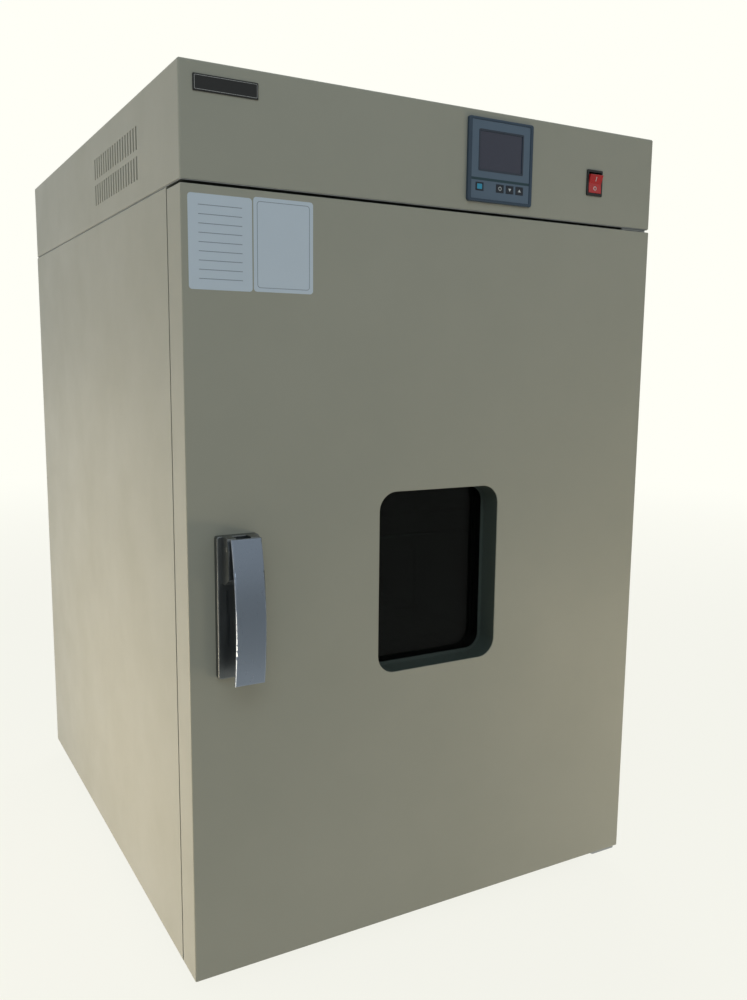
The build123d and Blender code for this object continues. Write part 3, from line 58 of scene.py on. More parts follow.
Outputs = bpy.types.NodeOutputs
Socket = bpy.types.NodeSocket
Tree = bpy.types.NodeTree
Material = bpy.types.Material

SCREEN_KNEE, SCREEN_SLOPE, SCREEN_OFFSET, SCREEN_GAMMA = 0.04045, 12.92, 0.055, 2.4
NOISE_SPAN = (0.3, 0.7)
TONE_SCALE, CLOUD_SCALE = 9.0, 14.0
SOFT = "SMOOTHSTEP"
WELD = 1e-7
INK = 0.00006
ROUND_STEPS, FINE_STEPS = 6, 2
HEAD_SIDES, WIRE_SIDES = 20, 6


def linear(colour: Screen) -> Colour:
    """Turns a colour as it is seen on a screen, 0 to 255 in each channel, into linear light."""
    shares = (channel / 255 for channel in colour)
    return tuple(share / SCREEN_SLOPE if share <= SCREEN_KNEE
                 else ((share + SCREEN_OFFSET) / (1 + SCREEN_OFFSET)) ** SCREEN_GAMMA for share in shares)


def evenly(start: float, end: float, count: int) -> list[float]:
    """Gives evenly spaced values from start to end, both included."""
    return [start + i * (end - start) / (count - 1) for i in range(count)]


class Grain(Enum):
    """Which way the fine lines of a brushed finish run."""

    UPRIGHT = (900.0, 900.0, 12.0)
    ACROSS = (12.0, 900.0, 900.0)
    DEEP = (900.0, 12.0, 900.0)


class Mark(Enum):
    """What is printed on the controller's keys, by the key that carries it."""

    SQUARE = "run_key"
    RING = "shift_key"
    DOWN = "down_key"
    UP = "up_key"


class Facing(Enum):
    """Which way the head of a screw points, as a turn of a head that points up."""

    FRONT = (math.pi / 2, 0.0, 0.0)
    BACK = (-math.pi / 2, 0.0, 0.0)
    DOWN = (math.pi, 0.0, 0.0)


def new_tree(name: str, kind: str, ins: dict[str, str], outs: dict[str, str]) -> tuple[Tree, Outputs, Inputs]:
    """Makes an empty node tree with its sockets.

    Args:
        name: the tree's name.
        kind: the tree's type.
        ins: the socket type of each input, by its name.
        outs: the socket type of each output, by its name.

    Returns:
        The tree, what it is given and what it puts out.
    """
    tree = bpy.data.node_groups.new(name, kind)
    for in_out, sockets in (("INPUT", ins), ("OUTPUT", outs)):
        for label, socket in sockets.items():
            tree.interface.new_socket(label, in_out=in_out, socket_type=f"NodeSocket{socket}")
    return tree, tree.nodes.new("NodeGroupInput").outputs, tree.nodes.new("NodeGroupOutput").inputs


def node(tree: Tree, kind: str, ins: dict[str | int, object], **settings: object) -> Outputs:
    """Adds a node with its settings and inputs.

    Args:
        tree: the tree to add to.
        kind: the node's type.
        ins: what each input gets, a socket or a value, by its name or place.
        settings: the node's settings.

    Returns:
        The node's outputs.
    """
    made = tree.nodes.new(kind)
    for name, value in settings.items():
        setattr(made, name, value)
    for key, value in ins.items():
        if isinstance(value, Socket):
            tree.links.new(value, made.inputs[key])
        else:
            made.inputs[key].default_value = value
    return made.outputs


def maths(tree: Tree, operation: str, first: Socket | float, second: Socket | float) -> Socket:
    """Joins two values by an operation."""
    return node(tree, "ShaderNodeMath", {0: first, 1: second}, operation=operation)[0]


def ranged(tree: Tree, value: Socket, span: Flat, levels: Flat, change: str = "LINEAR") -> Socket:
    """Maps a span of a value onto two levels."""
    ins = {"Value": value, "From Min": span[0], "From Max": span[1], "To Min": levels[0], "To Max": levels[1]}
    return node(tree, "ShaderNodeMapRange", ins, interpolation_type=change)["Result"]


def noise(tree: Tree, place: Socket, scale: Socket | float, detail: float, rough: float = 0.5) -> Socket:
    """Adds a noise of some scale, with finer layers of some number and strength."""
    ins = {"Vector": place, "Scale": scale, "Detail": detail, "Roughness": rough}
    return node(tree, "ShaderNodeTexNoise", ins)["Fac"]


class ShaderGroups:
    """The shader node groups that several finishes share."""

    def __init__(self) -> None:
        """Builds each group once."""
        self.peel = self._peel()
        self.brush = self._brush()

    def _peel(self) -> Tree:
        """Fine orange peel of a sprayed or moulded surface, with the slow swell of a large thin sheet.

        Returns:
            A group with the inputs Fine and Slow and the outputs Fine, Slow and Tone.
        """
        tree, given, out = new_tree("coat_peel", "ShaderNodeTree",
                                    {"Vector": "Vector", "Fine": "Float", "Slow": "Float"},
                                    {"Fine": "Float", "Slow": "Float", "Tone": "Float"})
        place = given["Vector"]
        tree.links.new(noise(tree, place, given["Fine"], detail=2.0), out["Fine"])
        tree.links.new(noise(tree, place, given["Slow"], detail=1.0), out["Slow"])
        tree.links.new(noise(tree, place, TONE_SCALE, detail=5.0, rough=0.6), out["Tone"])
        return tree

    def _brush(self) -> Tree:
        """Long fine lines of brushed or rolled metal, and its slight clouding.

        Returns:
            A group with the input Stretch and the outputs Line and Cloud.
        """
        tree, given, out = new_tree("brushed_lines", "ShaderNodeTree",
                                    {"Vector": "Vector", "Stretch": "Vector"},
                                    {"Line": "Float", "Cloud": "Float"})
        place = given["Vector"]
        stretched = node(tree, "ShaderNodeVectorMath", {0: place, 1: given["Stretch"]}, operation="MULTIPLY")
        tree.links.new(noise(tree, stretched["Vector"], 1.0, detail=3.0), out["Line"])
        tree.links.new(noise(tree, place, CLOUD_SCALE, detail=4.0), out["Cloud"])
        return tree


GROUPS = ShaderGroups()


class Shading:
    """A material while it is built."""

    def __init__(self, finish: "Finish") -> None:
        """Starts a material with a finish's colour and roughness.

        Args:
            finish: the finish.
        """
        self.finish = finish
        self.material = bpy.data.materials.new(finish.name)
        self.material.use_nodes = True
        self.tree = self.material.node_tree
        self.surface = self.tree.nodes["Principled BSDF"].inputs
        self.normal: Socket | None = None
        colour = (*linear(finish.colour), 1.0)
        self.material.diffuse_color = colour
        self.surface["Base Color"].default_value = colour
        self.surface["Roughness"].default_value = finish.roughness

    def pattern(self, group: Tree, **values: float | Point) -> Outputs:
        """Places a shared group on object coordinates, with its other inputs."""
        place = node(self.tree, "ShaderNodeTexCoord", {})["Object"]
        return node(self.tree, "ShaderNodeGroup", {"Vector": place, **values}, node_tree=group)

    def tint(self, factor: Socket) -> None:
        """Lets the finish's second colour show through.

        Args:
            factor: where it shows.
        """
        share = ranged(self.tree, factor, NOISE_SPAN, (0.0, self.finish.shown))
        first, second = ((*linear(colour), 1.0) for colour in (self.finish.colour, self.finish.second))
        mixed = node(self.tree, "ShaderNodeMix", {"Factor": share, "A": first, "B": second}, data_type="RGBA")
        self.tree.links.new(mixed["Result"], self.surface["Base Color"])

    def relief(self, height: Socket, depth: float) -> None:
        """Adds relief, on top of what is there.

        Args:
            height: the relief.
            depth: its depth in metres.
        """
        ins = {"Distance": depth, "Height": height}
        if self.normal is not None:
            ins["Normal"] = self.normal
        self.normal = node(self.tree, "ShaderNodeBump", ins)["Normal"]
        self.tree.links.new(self.normal, self.surface["Normal"])

    def vary(self, factor: Socket) -> None:
        """Makes the surface glossier and duller in places.

        Args:
            factor: where it is duller.
        """
        glossier, duller = self.finish.vary
        levels = (self.finish.roughness - glossier, self.finish.roughness + duller)
        self.tree.links.new(ranged(self.tree, factor, NOISE_SPAN, levels), self.surface["Roughness"])


@dataclass(frozen=True)
class Finish:
    """Common ground of all finishes; the second colour shows through the first in places."""

    name: str
    colour: Screen
    roughness: float
    second: Screen = (0, 0, 0)
    shown: float = 0.5
    vary: Flat = (0.0, 0.0)

    def make(self) -> Material:
        """Builds the material.

        Returns:
            The material.
        """
        shading = Shading(self)
        self.fill(shading)
        return shading.material

    def fill(self, shading: Shading) -> None:
        """Adds what this kind of finish shows; each kind has its own way."""
        raise NotImplementedError


@dataclass(frozen=True)
class Coat(Finish):
    """Baked powder coat on sheet metal, with orange peel and a sheet's slow swell."""

    shown: float = 0.35
    vary: Flat = (0.04, 0.05)
    peel_scale: float = 700.0
    peel: float = 0.00004
    swell_scale: float = 3.0
    swell: float = 0.0012

    def fill(self, shading: Shading) -> None:
        """Adds the tone, the swell with the peel on it, and the sheen."""
        marks = shading.pattern(GROUPS.peel, Fine=self.peel_scale, Slow=self.swell_scale)
        shading.tint(marks["Tone"])
        shading.relief(marks["Slow"], self.swell)
        shading.relief(marks["Fine"], self.peel)
        shading.vary(marks["Tone"])


@dataclass(frozen=True)
class Metal(Finish):
    """Bare or plated metal with the fine lines of brushing or rolling."""

    vary: Flat = (0.08, 0.08)
    grain: Grain = Grain.UPRIGHT
    line: float = 0.00001

    def fill(self, shading: Shading) -> None:
        """Makes it metal, with clouds in its colour and lines in its relief and sheen."""
        shading.surface["Metallic"].default_value = 1.0
        marks = shading.pattern(GROUPS.brush, Stretch=self.grain.value)
        shading.tint(marks["Cloud"])
        shading.relief(marks["Line"], self.line)
        shading.vary(marks["Line"])


@dataclass(frozen=True)
class Moulded(Finish):
    """Moulded plastic or rubber with a fine grain."""

    shown: float = 0.3
    vary: Flat = (0.05, 0.08)
    grain_scale: float = 900.0
    depth: float = 0.00003
    gloss: float = 0.0

    def fill(self, shading: Shading) -> None:
        """Adds a clear gloss, the worn tone, the grain and the sheen."""
        shading.surface["Coat Weight"].default_value = self.gloss
        marks = shading.pattern(GROUPS.peel, Fine=self.grain_scale)
        shading.tint(marks["Tone"])
        shading.relief(marks["Fine"], self.depth)
        shading.vary(marks["Tone"])


@dataclass(frozen=True)
class Pane(Finish):
    """Grey tempered glass with a little bloom on it."""

    vary: Flat = (0.0, 0.015)
    bend: float = 1.5

    def fill(self, shading: Shading) -> None:
        """Makes it glass, with bloom in its sheen."""
        shading.surface["Transmission Weight"].default_value = 1.0
        shading.surface["IOR"].default_value = self.bend
        shading.vary(shading.pattern(GROUPS.brush, Stretch=Grain.ACROSS.value)["Cloud"])


@dataclass(frozen=True)
class Fleece(Finish):
    """Matted mineral wool."""

    shown: float = 0.7
    fibre_scale: float = 160.0
    depth: float = 0.002

    def fill(self, shading: Shading) -> None:
        """Adds fibres to its colour and its relief."""
        fibres = shading.pattern(GROUPS.peel, Fine=self.fibre_scale)["Fine"]
        shading.tint(fibres)
        shading.relief(fibres, self.depth)


class Palette:
    """All finishes of the oven, by what they are put on."""

    def __init__(self) -> None:
        """Builds each finish once."""
        finishes: dict[str, Finish] = {
            "casing": Coat("casing_coat", (166, 166, 153), 0.34, (156, 157, 144)),
            # The window reveal is darker than the casing: partly its own dark grey-green colour, partly
            # painted shade of the recess round the window.
            "reveal": Coat("reveal_coat_and_painted_shade", (74, 84, 79), 0.4, (64, 74, 69), swell=0.0),
            "motor": Coat("motor_enamel", (34, 35, 37), 0.5, (24, 24, 26), swell=0.0),
            "stainless": Metal("chamber_stainless", (176, 176, 172), 0.34, (150, 150, 146), grain=Grain.DEEP),
            "stainless_upright": Metal("panel_stainless", (178, 178, 174), 0.33, (155, 155, 150)),
            "wire": Metal("shelf_wire", (188, 188, 184), 0.28, (160, 160, 156), grain=Grain.ACROSS),
            "zinc": Metal("zinc_plate", (165, 168, 168), 0.42, (130, 134, 136), grain=Grain.DEEP),
            "screw": Metal("screw_steel", (170, 170, 168), 0.3, (120, 120, 118), grain=Grain.ACROSS),
            "handle": Metal("handle_chrome", (142, 153, 170), 0.3, (132, 142, 157), vary=(0.03, 0.03),
                            line=0.000004),
            "handle_base": Metal("handle_base_chrome", (120, 124, 126), 0.34, (98, 102, 104)),
            "heater": Metal("heater_tube", (96, 90, 84), 0.5, (70, 62, 58), grain=Grain.DEEP),
            "aluminium": Metal("cast_aluminium", (190, 191, 192), 0.42, (165, 166, 168), grain=Grain.DEEP),
            "plate_edge": Metal("plate_edge", (176, 178, 178), 0.3, (140, 142, 142)),
            "glass": Pane("tempered_pane", (150, 162, 158), 0.0, bend=1.22),
            "inner_glass": Pane("inner_pane", (150, 162, 158), 0.0, bend=1.15),
            "wool": Fleece("mineral_wool", (206, 196, 158), 0.95, (168, 154, 112)),
            "seal": Moulded("silicone_seal", (150, 62, 48), 0.6, (120, 48, 38)),
            "foot": Moulded("foot_rubber", (30, 30, 31), 0.75, (48, 47, 45)),
            "controller": Moulded("controller_case", (54, 74, 94), 0.42, (44, 56, 68)),
            "membrane": Moulded("panel_membrane", (92, 112, 132), 0.36, (74, 90, 106), grain_scale=1400.0),
            "screen": Moulded("display_window", (34, 40, 66), 0.12, (28, 34, 60), depth=0.0, gloss=0.6),
            "screen_frame": Moulded("display_frame", (48, 58, 74), 0.35, (40, 50, 64)),
            "stripe": Moulded("panel_stripe", (30, 62, 72), 0.35, (26, 52, 62)),
            "key": Moulded("key_rubber", (30, 38, 50), 0.4, (22, 28, 38)),
            "key_blue": Moulded("key_rubber_blue", (60, 160, 196), 0.4, (44, 138, 176)),
            "print": Moulded("white_print", (214, 220, 222), 0.5, (196, 202, 204)),
            "black": Moulded("black_plastic", (24, 24, 26), 0.35, (36, 36, 38)),
            "rocker": Moulded("red_rocker", (196, 22, 26), 0.22, (168, 14, 20), depth=0.0, gloss=0.5),
            "plate": Moulded("bare_plate", (16, 17, 19), 0.4, (22, 24, 27)),
            "label": Moulded("label_film", (208, 221, 234), 0.42, (196, 210, 224), depth=0.00001),
            "label_line": Moulded("label_rule", (136, 150, 166), 0.45, (124, 138, 154)),
        }
        self._materials = {key: finish.make() for key, finish in finishes.items()}

    def __getitem__(self, key: str) -> Material:
        """Gives a finish's material."""
        return self._materials[key]


def dress(material: Material, *solids: str) -> None:
    """Puts one finish on solids of the frame.

    Args:
        material: the finish.
        solids: the names of the solids.
    """
    for solid in solids:
        for slot in frame["nodes"][solid].material_slots:
            slot.material = material
        log.info("dressed %s in %s", solid, material.name)


def piece(name: str, build: Callable[[Mesh], None], material: Material, body: str) -> None:
    """Makes one piece of the scene and ties it to a body.

    Args:
        name: the piece's name.
        build: what fills its mesh.
        material: its finish.
        body: the body that it rides on.
    """
    mesh = bpy.data.meshes.new(name)
    made = bmesh.new()
    build(made)
    bmesh.ops.remove_doubles(made, verts=made.verts, dist=WELD)
    bmesh.ops.recalc_face_normals(made, faces=made.faces)
    made.to_mesh(mesh)
    made.free()
    mesh.materials.append(material)
    thing = bpy.data.objects.new(name, mesh)
    bpy.context.scene.collection.objects.link(thing)
    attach(thing, body)
    log.info("made %s on %s", name, body)


@dataclass(frozen=True)
class Front:
    """Where a solid's front lies, as x and z of its centre and y, and how wide and high it is."""

    centre: Flat
    size: Flat
    y: float

    @classmethod
    def of(cls, solid: str) -> "Front":
        """Reads a solid's front from its box."""
        low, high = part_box(solid)
        return cls(((low.x + high.x) / 2, (low.z + high.z) / 2), (high.x - low.x, high.z - low.z), low.y)


def grown(size: Flat, by: float) -> Flat:
    """Gives a width and height that are larger by one amount."""
    return size[0] + by, size[1] + by


def rounded(size: Flat, radius: float, steps: int = ROUND_STEPS) -> list[Flat]:
    """Gives the outline of a rounded rectangle about its centre.

    Args:
        size: its width and height.
        radius: its corner radius.
        steps: how many straight bits make one corner.

    Returns:
        The points, anticlockwise.
    """
    points = []
    for corner, (sx, sz) in enumerate(((1, 1), (-1, 1), (-1, -1), (1, -1))):
        for step in range(steps + 1):
            angle = math.pi / 2 * (corner + step / steps)
            points.append((sx * (size[0] / 2 - radius) + radius * math.cos(angle),
                           sz * (size[1] / 2 - radius) + radius * math.sin(angle)))
    return points


def circle(diameter: float) -> list[Flat]:
    """Gives a circle's outline about its centre."""
    return rounded((diameter, diameter), diameter / 2)


def slab(made: Mesh, outline: Iterable[Flat], centre: Flat, y: float, thickness: float) -> None:
    """Adds a flat plate that faces the front, with an outline about its centre and its back at y."""
    back = [made.verts.new((centre[0] + x, y, centre[1] + z)) for x, z in outline]
    stand_out(made, [made.faces.new(back)], thickness)


def stand_out(made: Mesh, faces: list[bmesh.types.BMFace], thickness: float) -> None:
    """Gives flat faces a thickness towards the front.

    Args:
        made: the mesh that holds them.
        faces: the faces.
        thickness: how far they stand out.
    """
    raised = bmesh.ops.extrude_face_region(made, geom=faces)["geom"]
    front = [part for part in raised if isinstance(part, bmesh.types.BMVert)]
    bmesh.ops.translate(made, verts=front, vec=(0, -thickness, 0))


def hoop(made: Mesh, outer: Sequence[Flat], inner: Sequence[Flat], centre: Flat, y: float,
         thickness: float) -> None:
    """Adds a flat ring between two outlines that have equally many points.

    Args:
        made: the mesh to add to.
        outer: the outer outline about the centre.
        inner: the inner outline about the centre.
        centre: the centre, as x and z.
        y: where the ring's back lies.
        thickness: how far it stands out to the front.
    """
    rows = [[made.verts.new((centre[0] + x, depth, centre[1] + z)) for x, z in outline]
            for outline, depth in ((outer, y), (outer, y - thickness), (inner, y - thickness), (inner, y))]
    count = len(outer)
    for row, after in zip(rows, rows[1:] + rows[:1]):
        for i in range(count):
            made.faces.new((row[i], row[(i + 1) % count], after[(i + 1) % count], after[i]))


def punched(made: Mesh, size: Flat, centre: Flat, holes: Sequence[tuple[float, float, float, float]],
            y: float, thickness: float) -> None:
    """Adds a thin rectangular film with rectangular holes.

    Args:
        made: the mesh to add to.
        size: the film's width and height.
        centre: its centre, as x and z.
        holes: each hole's low x, low z, high x and high z.
        y: where its back lies.
        thickness: how thick it is.
    """
    left, low = centre[0] - size[0] / 2, centre[1] - size[1] / 2
    xs = sorted({left, left + size[0], *(hole[0] for hole in holes), *(hole[2] for hole in holes)})
    zs = sorted({low, low + size[1], *(hole[1] for hole in holes), *(hole[3] for hole in holes)})
    corners: dict[Flat, bmesh.types.BMVert] = {}
    for x0, x1 in zip(xs, xs[1:]):
        for z0, z1 in zip(zs, zs[1:]):
            x, z = (x0 + x1) / 2, (z0 + z1) / 2
            if any(hole[0] < x < hole[2] and hole[1] < z < hole[3] for hole in holes):
                continue
            ring = ((x0, z0), (x1, z0), (x1, z1), (x0, z1))
            for spot in ring:
                if spot not in corners:
                    corners[spot] = made.verts.new((spot[0], y, spot[1]))
            made.faces.new([corners[spot] for spot in ring])
    stand_out(made, list(made.faces), thickness)


def laid(made: Mesh, build: Callable[[Mesh], None], place: Matrix) -> None:
    """Builds a shape flat and lays it in its place."""
    build(made)
    bmesh.ops.transform(made, matrix=place, verts=made.verts)


class NodeTrees:
    """The Geometry Nodes trees that make what repeats."""

    def __init__(self) -> None:
        """Builds each tree once."""
        self.screw_heads = self._screw_heads()
        self.slot_rims = self._slot_rims()

    def _start(self, name: str, ins: dict[str, str]) -> tuple[Tree, Outputs, Inputs]:
        """Makes a tree that takes points, the sizes in ins, a turn and a material."""
        geometry = {"Geometry": "Geometry"}
        return new_tree(name, "GeometryNodeTree",
                        {**geometry, **ins, "Turn": "Rotation", "Material": "Material"}, geometry)

    def _end(self, tree: Tree, given: Outputs, out: Inputs, shape: Socket) -> Tree:
        """Ends a tree: one shape on every point, made real and given its material.

        Args:
            tree: the tree.
            given: what it is given.
            out: what it puts out.
            shape: the shape to repeat.

        Returns:
            The tree.
        """
        spread = node(tree, "GeometryNodeInstanceOnPoints",
                      {"Points": given["Geometry"], "Instance": shape, "Rotation": given["Turn"]})
        real = node(tree, "GeometryNodeRealizeInstances", {"Geometry": spread["Instances"]})
        covered = node(tree, "GeometryNodeSetMaterial",
                       {"Geometry": real["Geometry"], "Material": given["Material"]})
        tree.links.new(covered["Geometry"], out["Geometry"])
        return tree

    def _screw_heads(self) -> Tree:
        """Pan heads of screws: a low cone with a smaller step on it.

        Returns:
            A tree with the inputs Radius, Height, Turn and Material.
        """
        tree, given, out = self._start("screw_heads", {"Radius": "Float", "Height": "Float"})
        radius, height = given["Radius"], given["Height"]
        joined = tree.nodes.new("GeometryNodeJoinGeometry")
        rim, step, tip, shoulder = 1.0, 0.86, 0.45, 0.6
        for bottom, top, base, rise in ((rim, step, 0.0, shoulder), (step, tip, shoulder, 1 - shoulder)):
            cone = node(tree, "GeometryNodeMeshCone", {
                "Vertices": HEAD_SIDES, "Radius Bottom": maths(tree, "MULTIPLY", radius, bottom),
                "Radius Top": maths(tree, "MULTIPLY", radius, top),
                "Depth": maths(tree, "MULTIPLY", height, rise)})
            lift = node(tree, "ShaderNodeCombineXYZ", {"Z": maths(tree, "MULTIPLY", height, base)})
            moved = node(tree, "GeometryNodeTransform",
                         {"Geometry": cone["Mesh"], "Translation": lift["Vector"]})
            tree.links.new(moved["Geometry"], joined.inputs["Geometry"])
        return self._end(tree, given, out, joined.outputs["Geometry"])

    def _slot_rims(self) -> Tree:
        """Thin rolled rims around punched slots.

        Returns:
            A tree with the inputs Width, Height, Wire, Turn and Material.
        """
        tree, given, out = self._start("slot_rims", {"Width": "Float", "Height": "Float", "Wire": "Float"})
        outline = node(tree, "GeometryNodeCurvePrimitiveQuadrilateral",
                       {"Width": given["Width"], "Height": given["Height"]})
        corners = node(tree, "GeometryNodeFilletCurve", {"Curve": outline["Curve"], "Radius": given["Wire"]})
        profile = node(tree, "GeometryNodeCurvePrimitiveCircle",
                       {"Resolution": WIRE_SIDES, "Radius": given["Wire"]})
        rim = node(tree, "GeometryNodeCurveToMesh",
                   {"Curve": corners["Curve"], "Profile Curve": profile["Curve"]})
        return self._end(tree, given, out, rim["Mesh"])


TREES = NodeTrees()


@dataclass
class NodeField:
    """Equal small parts on a set of points, made by a Geometry Nodes tree and kept as a plain mesh."""

    name: str
    points: list[Point]
    body: str
    slot: str

    def fill(self, tree: Tree, **values: object) -> None:
        """Runs a tree on the points.

        Args:
            tree: the tree, with a geometry input and named inputs.
            values: the named inputs.
        """
        mesh = bpy.data.meshes.new(self.name)
        mesh.from_pydata(self.points, [], [])
        thing = bpy.data.objects.new(self.name, mesh)
        bpy.context.scene.collection.objects.link(thing)
        modifier = thing.modifiers.new("field", "NODES")
        modifier.node_group = tree
        for socket in tree.interface.items_tree:
            if socket.in_out == "INPUT" and socket.name in values:
                modifier[socket.identifier] = values[socket.name]
        graph = bpy.context.evaluated_depsgraph_get()
        result = bpy.data.meshes.new_from_object(thing.evaluated_get(graph), depsgraph=graph)
        thing.modifiers.remove(modifier)
        thing.data = result
        result.name = self.name
        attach(thing, self.body)
        log.info("made %s from %d points", self.name, len(self.points))


@dataclass
class Screws:
    """Equal screw or rivet heads, with the head's radius and height."""

    material: Material
    radius: float
    height: float
    body: str = "cabinet"

    def put(self, name: str, points: list[Point], facing: Facing) -> None:
        """Adds the heads as one piece, at some points and facing one way."""
        NodeField(name, points, self.body, "zinc_steel").fill(
            TREES.screw_heads, Radius=self.radius, Height=self.height, Turn=facing.value,
            Material=self.material)


@dataclass
class Casing:
    """The cabinet's outside: folded sheets, hood, feet, rear, and the fasteners that hold them."""

    palette: Palette
    head_radius: float = 0.0038
    head_height: float = 0.0016
    hood_screws: int = 5
    hood_margin: float = 0.012
    frame_rivets: int = 5
    frame_margin: float = 0.022
    hinge_inset: float = 0.011

    def build(self) -> None:
        """Dresses the sheets and adds what fastens them."""
        p = self.palette
        dress(p["casing"], "body_shell", "rear_panel", "front_frame", "header_hood")
        dress(p["zinc"], "header_deck", "inner_back_panel", "exhaust_duct", "upper_hinge_plate",
              "lower_hinge_plate", "latch_keeper")
        dress(p["screw"], "casing_screws")
        dress(p["foot"], "feet")
        dress(p["wool"], "insulation_jacket", "rear_insulation")
        dress(p["black"], "cable_gland", "exhaust_port", "exhaust_dial")
        dress(p["aluminium"], "heater_relay")
        self._fasteners()

    def _fasteners(self) -> None:
        """Adds screws in the hood's rear, rivets beside the chamber's mouth and the lower hinge's screws."""
        heads = Screws(self.palette["screw"], self.head_radius, self.head_height)
        low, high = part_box("header_hood")
        row = evenly(low.x + 2 * self.hood_margin, high.x - 2 * self.hood_margin, self.hood_screws)
        heads.put("hood_screws", [(x, high.y, low.z + self.hood_margin) for x in row], Facing.BACK)

        low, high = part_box("front_frame")
        column = evenly(low.z + self.frame_margin, high.z - self.frame_margin, self.frame_rivets)
        sides = (low.x + self.frame_margin, high.x - self.frame_margin)
        heads.put("frame_rivets", [(x, low.y, z) for x in sides for z in column], Facing.FRONT)

        low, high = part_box("lower_hinge_plate")
        sides = (low.x + self.hinge_inset, high.x - self.hinge_inset)
        depths = (high.y - self.hinge_inset, high.y - 3 * self.hinge_inset)
        heads.put("hinge_screws", [(x, y, low.z) for x in sides for y in depths], Facing.DOWN)


@dataclass
class VentRims:
    """Rolled rims of the ventilation slots in the hood's two sides."""

    palette: Palette
    start: float = 0.1554
    pitch: float = 0.0116
    count: int = 18
    rows: int = 2
    slot_width: float = 0.0048
    slot_height: float = 0.026
    low: float = 0.036
    row_step: float = 0.033
    wire: float = 0.00035

    def build(self) -> None:
        """Adds the rims on both sides."""
        low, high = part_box("header_hood")
        for side, x in (("left", low.x + self.wire), ("right", high.x - self.wire)):
            points = [(x, low.y + self.start + i * self.pitch, low.z + self.low + row * self.row_step)
                      for i in range(self.count) for row in range(self.rows)]
            NodeField(f"vent_rims_{side}", points, "cabinet", "casing_paint").fill(
                TREES.slot_rims, Width=self.slot_width, Height=self.slot_height, Wire=self.wire,
                Turn=(math.pi / 2, 0.0, math.pi / 2), Material=self.palette["casing"])


@dataclass(frozen=True)
class Label:
    """A blank sticker's edges on the door, from the door's left edge and the casing's underside."""

    name: str
    left: float
    right: float
    low: float
    high: float

    @property
    def size(self) -> Flat:
        """Gives its width and height."""
        return self.right - self.left, self.high - self.low

    @property
    def centre(self) -> Flat:
        """Gives its centre, as x and z."""
        x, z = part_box("door_skin")[0].x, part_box("body_shell")[0].z
        return x + (self.left + self.right) / 2, z + (self.low + self.high) / 2


@dataclass
class Door:
    """The door with its window, seal and the two blank labels on its upper left corner."""

    palette: Palette
    film: float = 0.00025
    ruled: Label = Label("left_label", 0.0075, 0.0775, 0.7765, 0.872)
    bordered: Label = Label("right_label", 0.079, 0.1485, 0.777, 0.874)
    corner: float = 0.0035
    rules: int = 9
    rule_margin: float = 0.011
    rule_height: float = 0.0007
    rule_corner: float = 0.0003
    border_inset: float = 0.004
    border_line: float = 0.0006
    screws: int = 7
    screw_margin: float = 0.014
    head_radius: float = 0.0034
    head_height: float = 0.0014

    def build(self) -> None:
        """Dresses the door and adds its labels and the inner panel's screws."""
        p = self.palette
        dress(p["casing"], "door_skin")
        # The reveal's dark finish is partly its own colour and partly painted shade of the recess.
        dress(p["reveal"], "window_reveal")
        dress(p["stainless_upright"], "door_inner_panel", "glass_clamp")
        dress(p["wool"], "door_insulation")
        dress(p["glass"], "outer_glass")
        dress(p["inner_glass"], "inner_glass")
        dress(p["black"], "glass_spacer", "hinge_bushes")
        dress(p["seal"], "door_gasket")
        dress(p["screw"], "clamp_screws")
        face = Front.of("door_skin").y
        self._sticker(self.ruled, face)
        self._print("left_label_rules", partial(self._rules, y=face - self.film))
        self._sticker(self.bordered, face)
        self._print("right_label_border", partial(self._border, y=face - self.film))
        self._panel_screws()

    def _sticker(self, label: Label, face: float) -> None:
        """Adds a blank sticker on the door's face."""
        build = partial(slab, outline=rounded(label.size, self.corner), centre=label.centre, y=face,
                        thickness=self.film)
        piece(label.name, build, self.palette["label"], "door")

    def _print(self, name: str, build: Callable[[Mesh], None]) -> None:
        """Adds what is printed on a sticker."""
        piece(name, build, self.palette["label_line"], "door")

    def _rules(self, made: Mesh, y: float) -> None:
        """Adds the ruled lines of a blank form.

        Args:
            made: the mesh to add to.
            y: the sticker's face.
        """
        centre, (width, height) = self.ruled.centre, self.ruled.size
        line = rounded((width - 2 * self.rule_margin, self.rule_height), self.rule_corner, FINE_STEPS)
        reach = height / 2 - self.rule_margin
        for z in evenly(centre[1] + reach, centre[1] - reach, self.rules):
            slab(made, line, (centre[0], z), y, INK)

    def _border(self, made: Mesh, y: float) -> None:
        """Adds a plain border.

        Args:
            made: the mesh to add to.
            y: the sticker's face.
        """
        size = grown(self.bordered.size, -2 * self.border_inset)
        inner = rounded(grown(size, -2 * self.border_line), self.corner - self.border_line)
        hoop(made, rounded(size, self.corner), inner, self.bordered.centre, y, INK)

    def _panel_screws(self) -> None:
        """Screws along both upright edges of the inner panel."""
        low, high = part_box("door_inner_panel")
        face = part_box("door_skin")[1].y
        column = evenly(low.z + 2 * self.screw_margin, high.z - 2 * self.screw_margin, self.screws)
        sides = (low.x + self.screw_margin, high.x - self.screw_margin)
        points = [(x, face, z) for x in sides for z in column]
        heads = Screws(self.palette["screw"], self.head_radius, self.head_height, "door")
        heads.put("inner_panel_screws", points, Facing.BACK)


@dataclass
class HandleSet:
    """The pull handle, its base and the latch hook behind it."""

    palette: Palette

    def build(self) -> None:
        """Dresses the handle's solids."""
        p = self.palette
        dress(p["handle"], "handle_lever")
        dress(p["handle_base"], "handle_base")
        dress(p["screw"], "handle_pin", "lever_spring")
        dress(p["zinc"], "latch_hook")


